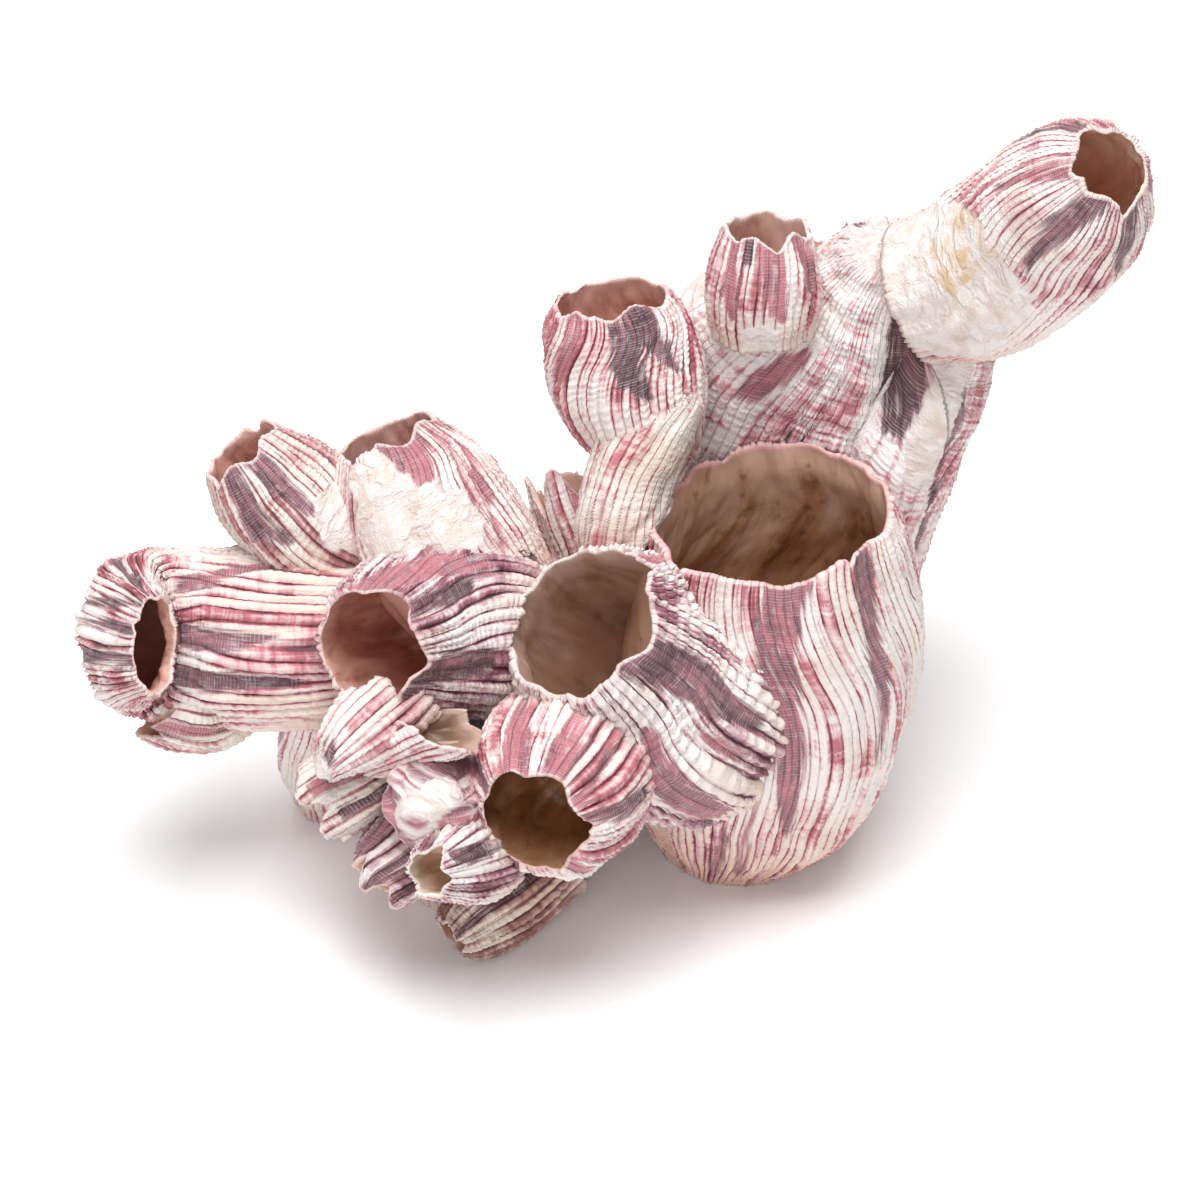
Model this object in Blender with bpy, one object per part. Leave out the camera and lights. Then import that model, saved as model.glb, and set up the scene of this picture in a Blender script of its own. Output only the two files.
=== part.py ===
"""A cluster of large striped acorn barnacles, grown together in one clump.

Each barnacle is one shell: six wall plates around a hollow, closed at its base and open at its
mouth. A shell is lofted along a bent spine, from its base to its mouth. The oldest shells come
first in the table. A younger shell is cut off where it has grown onto an older one, so every
shell is its own solid, cemented to its neighbours along a thin seam.

The frame: the origin is the middle of the flat scar under the big cup, where it sat on its rock.
+X is to the right and +Z is up, as the cluster lies on a table, and -Y is its front.
"""

import math

import bmesh
import bpy
from mathutils import Vector

MM = 0.001
PLATES = 6
SEAM = 0.35 * MM  # the gap along a cement seam
DOWN_FRONT = Vector((0.0, -0.6, -0.8))  # side 0 of every shell faces this way, as far as it can
MOST_SHELL_FACTOR = 2  # how much farther than a seam a sharp corner of an envelope moves out
PLATE_JOINT_DIP = 0.05  # the walls dip this share of the radius at the joints of the plates
FLOOR_THICKENING = 0.5  # how much thicker the wall is at the floor of the hollow than at the rim
FLOOR_CURL = 1.6  # how far the wall curls in over the floor, in wall thicknesses
FLOOR_CURL_POWER = 6  # how late on the way down the curl begins
FLOOR_HUB_DROP = 0.02  # how much lower the middle of the floor is, as a share of the spine
OUTER_RING_SIDES = 3  # one ring of the outside for so many sides of the shell
INNER_RING_SIDES = 6  # one ring of the hollow for so many sides of the shell
RIM_WAVES = 5  # a second wave of wear around the rim, beside the one of the plates
TANGENT_STEP = 0.02  # the step along a spine that its direction is taken over
LENGTH_STEPS = 20  # the steps that a spine's length is added up from
SHARP_ANGLE = math.radians(40)
SHELL_ROUGHNESS = 0.6
TRIM_SIDE = 400 * MM
TRIM_DEPTH = 60 * MM

# Each shell, oldest first, in millimetres and degrees.
#   spine   points from the middle of the base to the middle of the mouth
#   radii   outer radius, at even steps from the base to the mouth
#   hollow  how deep the hollow goes, as a share of the spine; 0 where the mouth is grown over
#   wall    thickness at the rim; it is half as much again at the floor of the hollow
#   oval    how wide and how deep the shell is, as shares of its radius, at the base and the mouth
#   dip     how far the rim drops, and on which side (0 front, 90 right of an upright shell)
#   teeth   how far the worn rim rises and falls
#   sides   faces around the shell
#   tone    the colour of the shell's outside
ROSE = (0.62, 0.36, 0.41)
PALE = (0.80, 0.70, 0.68)
PLUM = (0.42, 0.27, 0.33)
CREAM = (0.80, 0.74, 0.66)
SHELLS = {
    "big_cup_shell": dict(
        spine=[(-0.3, -0.1, -1.5), (3, 1, 16), (6, 2, 38), (4.5, 3.3, 57)],
        radii=[8.5, 16.6, 19.6, 20, 18.2, 15.6],
        hollow=0.9, wall=1.6, dip=(2.2, 340), sides=24, tone=ROSE,
    ),
    "left_foot_shell": dict(
        spine=[(-55.5, 9.8, -1.5), (-54.8, 6.5, 11), (-52.5, 0, 27)],
        radii=[5.6, 7.6, 8.2, 6.5],
        hollow=0, sides=12, tone=PALE,
    ),
    "core_foot_shell": dict(
        spine=[(-37, -5, -1.5), (-36.5, -7, 13), (-35, -9, 29)],
        radii=[8.5, 11, 10.5, 7.5],
        hollow=0, sides=12, tone=PALE,
    ),
    "rear_foot_shell": dict(
        spine=[(-19, 27, -1.5), (-17, 22, 12), (-12, 13, 28)],
        radii=[7, 10, 10.5, 8],
        hollow=0, sides=12, tone=PALE,
    ),
    "centre_cone_shell": dict(
        spine=[(1, -4.5, 24), (-7, -8, 31.5), (-14.5, -10, 40.8), (-20.6, -14.3, 51)],
        radii=[11, 15.2, 16.6, 15.6, 13, 10.6],
        hollow=0.8, wall=1.3, sides=24, tone=PALE,
    ),
    "hood_shell": dict(
        spine=[(8.5, 35, 32.7), (9, 34.5, 43), (14, 33.3, 57.9), (19, 31, 69.7), (21.5, 29, 79)],
        radii=[13, 16, 18.3, 16, 12, 7.5],
        hollow=0, oval=[(1, 0.85), (1, 0.85)], sides=20, tone=ROSE,
    ),
    "top_back_shell": dict(
        spine=[(0, 32, 42), (2, 31, 57), (3.5, 30, 67), (4, 29.5, 74.5)],
        radii=[10, 12, 12, 10.5, 6],
        hollow=0, sides=16, tone=PALE,
    ),
    "side_wall_shell": dict(
        spine=[(-13, 3, 38), (-14.8, 5, 49), (-13.5, 9, 57.6), (-10.5, 12, 63.5), (-7.5, 15, 67)],
        radii=[4.5, 6, 6, 5.8, 4.5],
        hollow=0, sides=12, tone=PALE,
    ),
    "right_back_shell": dict(
        spine=[(19.5, 18, 27), (21, 20, 41), (23.8, 22, 53), (27.5, 24.5, 62), (30.3, 25.5, 68)],
        radii=[6, 7.5, 7.8, 7.5, 6],
        hollow=0, sides=12, tone=PLUM,
    ),
    "upper_right_shell": dict(
        spine=[(24.4, 25, 75.1), (33.5, 22, 80.8), (39.8, 18, 89.9), (43, 13.5, 97.5),
               (45.2, 10.5, 102.2)],
        radii=[9.5, 11.1, 11.2, 10.6, 8.8, 5.2],
        hollow=0.85, wall=1.2, sides=16, tone=PALE,
    ),
    "top_small_shell": dict(
        spine=[(3.7, 21, 72), (3.5, 21.4, 79.5), (3.6, 22.3, 87.5)],
        radii=[6, 7.1, 7.3, 6.6, 5.3],
        hollow=0.75, wall=0.9, sides=16, tone=ROSE,
    ),
    "top_nub_shell": dict(
        spine=[(13.8, 31, 70), (13.6, 31.5, 75), (13.4, 32, 79.5)],
        radii=[4, 4.4, 4, 3],
        hollow=0.4, wall=0.9, teeth=0.7, sides=12, tone=PALE,
    ),
    "upper_left_shell": dict(
        spine=[(-8.5, 14, 55), (-12.7, 16.5, 63.5), (-15.2, 18.7, 71), (-16.3, 20.3, 78)],
        radii=[4, 8.2, 10.1, 10.2, 9.2, 7.2],
        hollow=0.75, wall=1.0, sides=16, tone=ROSE,
    ),
    "broken_back_shell": dict(
        spine=[(-17, 12, 36), (-19.8, 16, 44), (-22.4, 20, 51.5)],
        radii=[4.5, 6, 6.5, 6.3],
        hollow=0.5, wall=1.0, teeth=1.2, sides=12, tone=ROSE,
    ),
    "back_left_shell": dict(
        spine=[(-31, 2, 38), (-37, 5, 46), (-43, 8.7, 55), (-46.3, 11.3, 62.3)],
        radii=[9.5, 11.3, 11.7, 9.9, 6.6],
        hollow=0.8, wall=1.1, sides=16, tone=PALE,
    ),
    "far_left_shell": dict(
        spine=[(-48, 7, 45.5), (-56, 8, 50.5), (-61.5, 8.6, 55.8), (-65.5, 9.4, 61.3)],
        radii=[7, 8.9, 9, 8, 5.6],
        hollow=0.75, wall=1.0, oval=[(1, 1), (0.9, 1)], sides=16, tone=ROSE,
    ),
    "left_cup_shell": dict(
        spine=[(-28, 0, 38), (-36, -3.5, 41.6), (-43, -9, 44.3), (-47.4, -16.5, 47.9)],
        radii=[9.5, 11.5, 11.9, 11, 9.5, 7.6],
        hollow=0.8, wall=1.1, sides=18, tone=PLUM,
    ),
    "curved_left_shell": dict(
        spine=[(-45, 0, 37), (-60, -1, 37), (-72, -1, 37.8), (-79.2, -4.5, 40.6),
               (-77.6, -11, 44.8), (-73.8, -17, 48.8)],
        radii=[10.5, 11.8, 11.8, 11.2, 9.8, 8, 6.2],
        hollow=0.65, wall=0.8, oval=[(1, 1), (0.48, 1.05)], sides=24, tone=ROSE,
    ),
    "under_left_shell": dict(
        spine=[(-65, -4, 30), (-71, -5.5, 29.5), (-78, -7.5, 32.5)],
        radii=[4, 6, 6.6, 5.6],
        hollow=0.5, wall=0.9, sides=12, tone=CREAM,
    ),
    "front_cup_shell": dict(
        spine=[(-18.5, -13, 29), (-21.7, -21, 31.8), (-24.4, -28.5, 32.4), (-26.3, -33, 33.2)],
        radii=[8.5, 11, 11.6, 11.2, 9.5, 6.8],
        hollow=0.8, wall=1.0, sides=18, tone=ROSE,
    ),
    "front_foot_shell": dict(
        spine=[(-24, -11, 7), (-31, -18, 5), (-35.3, -21.5, 4), (-38, -23.7, 3.2)],
        radii=[5.5, 6, 5.4, 4.4, 2.8],
        hollow=0.4, wall=0.8, sides=12, tone=CREAM,
    ),
    "broken_base_plate": dict(
        spine=[(-34, -16, 26), (-37.5, -23, 28.5), (-41, -29.5, 32.5)],
        radii=[5, 6.4, 6.8, 5.6],
        hollow=0, teeth=0.8, sides=12, tone=CREAM,
    ),
    "tiny_shell": dict(
        spine=[(-31.5, -26, 22), (-36.5, -32, 25), (-40.2, -36.5, 27.5)],
        radii=[5.2, 5.9, 5.4, 4.2, 2.8],
        hollow=0.6, wall=0.8, sides=12, tone=PLUM,
    ),
    "dark_fragment_shell": dict(
        spine=[(-40, -18, 21.5), (-44.5, -24, 18.3), (-47.8, -27, 14.8)],
        radii=[4.5, 5.6, 5.4, 4.2],
        hollow=0.4, wall=0.9, teeth=0.8, sides=12, tone=PLUM,
    ),
    "lower_left_shell": dict(
        spine=[(-44, -13, 29), (-50, -17, 26), (-55.6, -18.8, 22.8)],
        radii=[4.5, 5.3, 5.8, 5.8],
        hollow=0.5, wall=1.0, teeth=0.6, sides=12, tone=CREAM,
    ),
    "tip_shell": dict(
        spine=[(-42, -15, 40), (-48, -19.5, 36.7), (-53.8, -24, 33.2)],
        radii=[4.6, 5.6, 5.2, 3.6, 1.8],
        hollow=0, sides=12, tone=PALE,
    ),
    "striped_small_shell": dict(
        spine=[(-47.5, -19, 31.5), (-41.5, -20, 36.5), (-37, -21.8, 40.6), (-34, -23, 43)],
        radii=[2.5, 4, 4.9, 5.3, 5.3],
        hollow=0.6, wall=0.8, teeth=0.6, sides=12, tone=ROSE,
    ),
    "rear_cup_shell": dict(
        spine=[(-24, 8, 32), (-30, 14, 31), (-34, 22, 31), (-36, 29, 32.5)],
        radii=[9, 11, 11, 9.3, 6.5],
        hollow=0.7, wall=1.0, sides=16, tone=ROSE,
    ),
}


def between(values, share):
    """The value at a share of the way along a list, on a Catmull-Rom curve through them."""
    place = share * (len(values) - 1)
    i = min(int(place), len(values) - 2)
    f = place - i
    b, c = values[i], values[i + 1]
    a = values[i - 1] if i > 0 else b + (b - c)
    d = values[i + 2] if i + 2 < len(values) else c + (c - b)
    return (b * 2 + (c - a) * f + (a * 2 - b * 5 + c * 4 - d) * f * f
            + (b * 3 - a - c * 3 + d) * f ** 3) * 0.5


class Shell:
    """The shape of one barnacle: a spine, a radius along it and a rim at its mouth."""

    def __init__(self, spine, radii, hollow, sides, tone,
                 wall=1, oval=((1, 1), (1, 1)), dip=(0, 0), teeth=0.4):
        self.spine = [Vector(p) * MM for p in spine]
        self.radii = [r * MM for r in radii]
        self.wall = wall * MM
        self.hollow = hollow
        self.floor = 1 - hollow
        self.oval = oval
        self.teeth = teeth * MM
        self.dip = dip[0] * MM
        self.dip_side = math.radians(dip[1])
        self.turns = [math.tau * i / sides for i in range(sides)]
        self.outer_rings = sides // OUTER_RING_SIDES
        self.inner_rings = sides // INNER_RING_SIDES
        self.tone = tone
        steps = [between(self.spine, i / LENGTH_STEPS) for i in range(LENGTH_STEPS + 1)]
        self.length = sum((b - a).length for a, b in zip(steps, steps[1:]))

    def frame(self, share):
        """The spine's point there, and the directions of side 0 and side 90."""
        low = between(self.spine, max(share - TANGENT_STEP, 0))
        high = between(self.spine, min(share + TANGENT_STEP, 1))
        ahead = (high - low).normalized()
        down = (DOWN_FRONT - ahead * DOWN_FRONT.dot(ahead)).normalized()
        return between(self.spine, share), down, ahead.cross(down)

    def rim(self, turn):
        """How far along the spine the wall reaches on the side at this angle."""
        dip = self.dip * (1 + math.cos(turn - self.dip_side)) / 2
        worn = self.teeth * (2 + math.sin(PLATES * turn) + math.sin(RIM_WAVES * turn + 1))
        return 1 - (dip + worn) / self.length

    def point(self, turn, share, inset):
        """A point of the wall, inset from the outer surface."""
        middle, down, across = self.frame(share)
        dip = PLATE_JOINT_DIP * max(0, math.cos(PLATES * turn)) ** 2
        radius = between(self.radii, share) * (1 - dip)
        (base_wide, base_deep), (mouth_wide, mouth_deep) = self.oval
        wide = (base_wide * (1 - share) + mouth_wide * share) * radius - inset
        deep = (base_deep * (1 - share) + mouth_deep * share) * radius - inset
        return middle + down * math.cos(turn) * deep + across * math.sin(turn) * wide

    def wall_at(self, share):
        """The wall's thickness, which grows from the rim down to the floor."""
        return self.wall * (1 + FLOOR_THICKENING * (1 - share) / (1 - self.floor))

    def rings_outside(self):
        """Rings of points up the outside, from the base to the rim."""
        return [
            [self.point(t, self.rim(t) * step / self.outer_rings, 0) for t in self.turns]
            for step in range(self.outer_rings + 1)
        ]

    def rings_inside(self):
        """Rings of points down the inside, from the rim to the floor, where the wall curls in."""
        rings = []
        for step in range(self.inner_rings + 1):
            down = step / self.inner_rings
            curl = 1 + FLOOR_CURL * down ** FLOOR_CURL_POWER
            shares = [self.rim(t) * (1 - down) + self.floor * down for t in self.turns]
            rings.append([
                self.point(t, share, self.wall_at(share) * curl)
                for t, share in zip(self.turns, shares)
            ])
        return rings


def loft(name, rings, first, last):
    """A closed mesh over rings of points, its two ends fanned to the points first and last."""
    sides = len(rings[0])
    bm = bmesh.new()
    grid = [[bm.verts.new(p) for p in ring] for ring in rings]
    for low, high in zip(grid, grid[1:]):
        for i in range(sides):
            j = (i + 1) % sides
            bm.faces.new((low[i], low[j], high[j]))
            bm.faces.new((low[i], high[j], high[i]))
    for ring, centre, turned in ((grid[0], first, True), (grid[-1], last, False)):
        hub = bm.verts.new(centre)
        for i in range(sides):
            j = (i + 1) % sides
            bm.faces.new((ring[j], ring[i], hub) if turned else (ring[i], ring[j], hub))
    bmesh.ops.recalc_face_normals(bm, faces=bm.faces)
    mesh = bpy.data.meshes.new(name)
    bm.to_mesh(mesh)
    bm.free()
    obj = bpy.data.objects.new(name, mesh)
    bpy.context.scene.collection.objects.link(obj)
    return obj


def shell_solid(name, shell):
    """The shell: up the outside from the base to the rim, and down the inside to its floor."""
    base = shell.frame(0)[0]
    if not shell.hollow:
        return loft(name, shell.rings_outside(), base, shell.frame(1)[0])
    hub = shell.frame(shell.floor - FLOOR_HUB_DROP)[0]
    return loft(name, shell.rings_outside() + shell.rings_inside(), base, hub)


def shell_envelope(name, shell):
    """The space that a shell takes up, its mouth closed, a seam wider all round."""
    rings = shell.rings_outside()
    lid = sum(rings[-1], Vector()) / len(rings[-1]) if shell.hollow else shell.frame(1)[0]
    obj = loft(name + ".envelope", rings, shell.frame(0)[0], lid)
    bm = bmesh.new()
    bm.from_mesh(obj.data)
    bm.normal_update()
    steps = [v.normal * SEAM * min(v.calc_shell_factor(), MOST_SHELL_FACTOR) for v in bm.verts]
    for vert, step in zip(bm.verts, steps):
        vert.co += step
    bm.to_mesh(obj.data)
    bm.free()
    return obj


def box_of(obj):
    """The lowest and the highest value of the object's points, for X, Y and Z."""
    corners = [v.co for v in obj.data.vertices]
    return [(min(c[k] for c in corners), max(c[k] for c in corners)) for k in range(3)]


def boxes_meet(a, b):
    return all(low < top and bottom < high for (low, high), (bottom, top) in zip(box_of(a), box_of(b)))


def keep_largest_piece(mesh):
    """A cut can leave chips behind it. Only the largest piece is the shell."""
    bm = bmesh.new()
    bm.from_mesh(mesh)
    waiting = set(bm.verts)
    pieces = []
    while waiting:
        stack = [waiting.pop()]
        piece = set(stack)
        while stack:
            for edge in stack.pop().link_edges:
                for vert in edge.verts:
                    if vert in waiting:
                        waiting.discard(vert)
                        piece.add(vert)
                        stack.append(vert)
        pieces.append(piece)
    pieces.sort(key=len)
    chips = [v for piece in pieces[:-1] for v in piece]
    bmesh.ops.delete(bm, geom=chips, context="VERTS")
    bm.to_mesh(mesh)
    bm.free()


def cut_by(obj, cutters):
    """Takes the older shells' space out of a shell, each with a Boolean."""
    for cutter in cutters:
        seam = obj.modifiers.new(cutter.name, "BOOLEAN")
        seam.operation = "DIFFERENCE"
        seam.solver = "EXACT"
        seam.object = cutter
    graph = bpy.context.evaluated_depsgraph_get()
    mesh = bpy.data.meshes.new_from_object(obj.evaluated_get(graph))
    obj.modifiers.clear()
    mesh.name = obj.name
    obj.data = mesh
    keep_largest_piece(mesh)


def table_trim():
    """A block under the table's surface, which keeps every shell above it."""
    bm = bmesh.new()
    bmesh.ops.create_cube(bm, size=1)
    bmesh.ops.scale(bm, verts=bm.verts, vec=(TRIM_SIDE, TRIM_SIDE, TRIM_DEPTH))
    bmesh.ops.translate(bm, verts=bm.verts, vec=(0, 0, -TRIM_DEPTH / 2))
    mesh = bpy.data.meshes.new("table_trim")
    bm.to_mesh(mesh)
    bm.free()
    obj = bpy.data.objects.new("table_trim", mesh)
    bpy.context.scene.collection.objects.link(obj)
    return obj


def shell_material(name, tone):
    material = bpy.data.materials.new(name)
    material.use_nodes = True
    surface = material.node_tree.nodes["Principled BSDF"]
    surface.inputs["Base Color"].default_value = (*tone, 1)
    surface.inputs["Roughness"].default_value = SHELL_ROUGHNESS
    surface.inputs["Metallic"].default_value = 0.0
    return material


def clear_scene():
    for obj in list(bpy.data.objects):
        bpy.data.objects.remove(obj)


def main():
    clear_scene()
    trim = table_trim()
    envelopes = []
    for name, facts in SHELLS.items():
        shell = Shell(**facts)
        obj = shell_solid(name, shell)
        cutters = [e for e in envelopes if boxes_meet(obj, e)]
        if box_of(obj)[2][0] < 0:
            cutters.append(trim)
        if cutters:
            cut_by(obj, cutters)
        obj.data.materials.clear()
        obj.data.materials.append(shell_material(name, shell.tone))
        obj.data.shade_smooth()
        obj.data.set_sharp_from_angle(angle=SHARP_ANGLE)
        envelopes.append(shell_envelope(name, shell))
    for helper in [trim, *envelopes]:
        bpy.data.objects.remove(helper)


main()
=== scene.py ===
import math

import bpy
import numpy as np
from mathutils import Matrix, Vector


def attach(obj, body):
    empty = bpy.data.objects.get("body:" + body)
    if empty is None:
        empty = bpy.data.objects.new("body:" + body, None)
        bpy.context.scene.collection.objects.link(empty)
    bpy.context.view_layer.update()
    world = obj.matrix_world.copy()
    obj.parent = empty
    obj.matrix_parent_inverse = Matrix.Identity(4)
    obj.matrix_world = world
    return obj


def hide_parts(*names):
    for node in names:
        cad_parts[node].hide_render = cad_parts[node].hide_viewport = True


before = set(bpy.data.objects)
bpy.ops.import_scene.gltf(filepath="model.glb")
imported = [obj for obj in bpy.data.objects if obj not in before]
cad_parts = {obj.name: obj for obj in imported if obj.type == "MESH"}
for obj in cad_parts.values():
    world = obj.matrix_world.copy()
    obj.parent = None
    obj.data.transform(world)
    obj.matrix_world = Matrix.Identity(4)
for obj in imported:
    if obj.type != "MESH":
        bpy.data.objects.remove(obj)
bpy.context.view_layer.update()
print("frame loaded:", len(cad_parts), "nodes")

mm = 0.001
plates = 6  # wall plates of one barnacle
plateDip = 0.05  # how far the wall dips at a joint, as a share of the radius
downFront = np.array((0.0, -0.6, -0.8))  # side 0 of every shell faces this way
floorThickening = 0.5
lipThickness = 0.55  # the wall at its worn edge, as a share of its full thickness
lipDepth = 5.0  # the wall has its full thickness this far under the edge, mm
bandFringe = 3.2  # width of a band's frayed edge, mm
seamWidth = 1.3  # how far the cement at a seam reaches up the younger shell, mm
edgeWidth = 1.6  # how far the worn edge of a mouth reaches down the wall, mm
grain = 0.31  # size of a mesh face on a shell's outside, mm
capRows = 12  # rings of faces that close a shell's base, floor or tip

# sRGB colours of the chalky ribs, of the stain between them from pale to plum, and of the bands
# groove: how dark the line in each groove is, partly stain and partly painted shade
roseLook = dict(white="#f1e7e3", cream="#ead9cf", pale="#e2babc", rose="#bf737b", deep="#954d57",
                plum="#673c43", bandPink="#be7780", bandViolet="#8c5f69", bandDark="#5a4047",
                pinkness=0.0, peach=0.4, groove=1.0, ribbing=1.0, dashes=0.7)
paleLook = {**roseLook, "pinkness": -0.1, "rose": "#c78a91", "deep": "#a3616b"}
plumLook = {**roseLook, "white": "#e6dcdb", "pale": "#c9a8ad", "rose": "#9c6370", "deep": "#70444f",
            "plum": "#4d343d", "pinkness": 0.04, "groove": 1.3}
creamLook = {**roseLook, "white": "#ede4dd", "cream": "#e3d2c3", "pale": "#dbb8b3", "rose": "#b97d80",
             "deep": "#965f64", "plum": "#73504f", "pinkness": -0.06}
# the hood's paler look is partly the shell's own light pink and partly painted light on faces the lamps leave
# dim
hoodLook = {**roseLook, "white": "#fbf4f2", "cream": "#f6ebe6", "pale": "#ecc4c6", "rose": "#cf8a94",
            "deep": "#ab6672", "plum": "#7f4a57", "pinkness": -0.09, "groove": 0.15, "ribbing": 0.3,
            "dashes": 1.5}

# sRGB colours of the smooth inside, from the mouth's lip down to the floor, and its stains; the darkening
# towards the floor is partly the lining's own brown and partly painted shade of the hollow
tanLining = dict(lip="#dcbcb0", near="#d6b09a", mid="#b68766", deep="#8d5a35", stain="#63381a")
rosyLining = dict(lip="#e6c4bd", near="#e2b1a6", mid="#ca9182", deep="#ab6e5b", stain="#875243")
paleLining = dict(lip="#ecd2ca", near="#e2bfb4", mid="#cda393", deep="#aa7c6a", stain="#8c5f4f")

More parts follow.
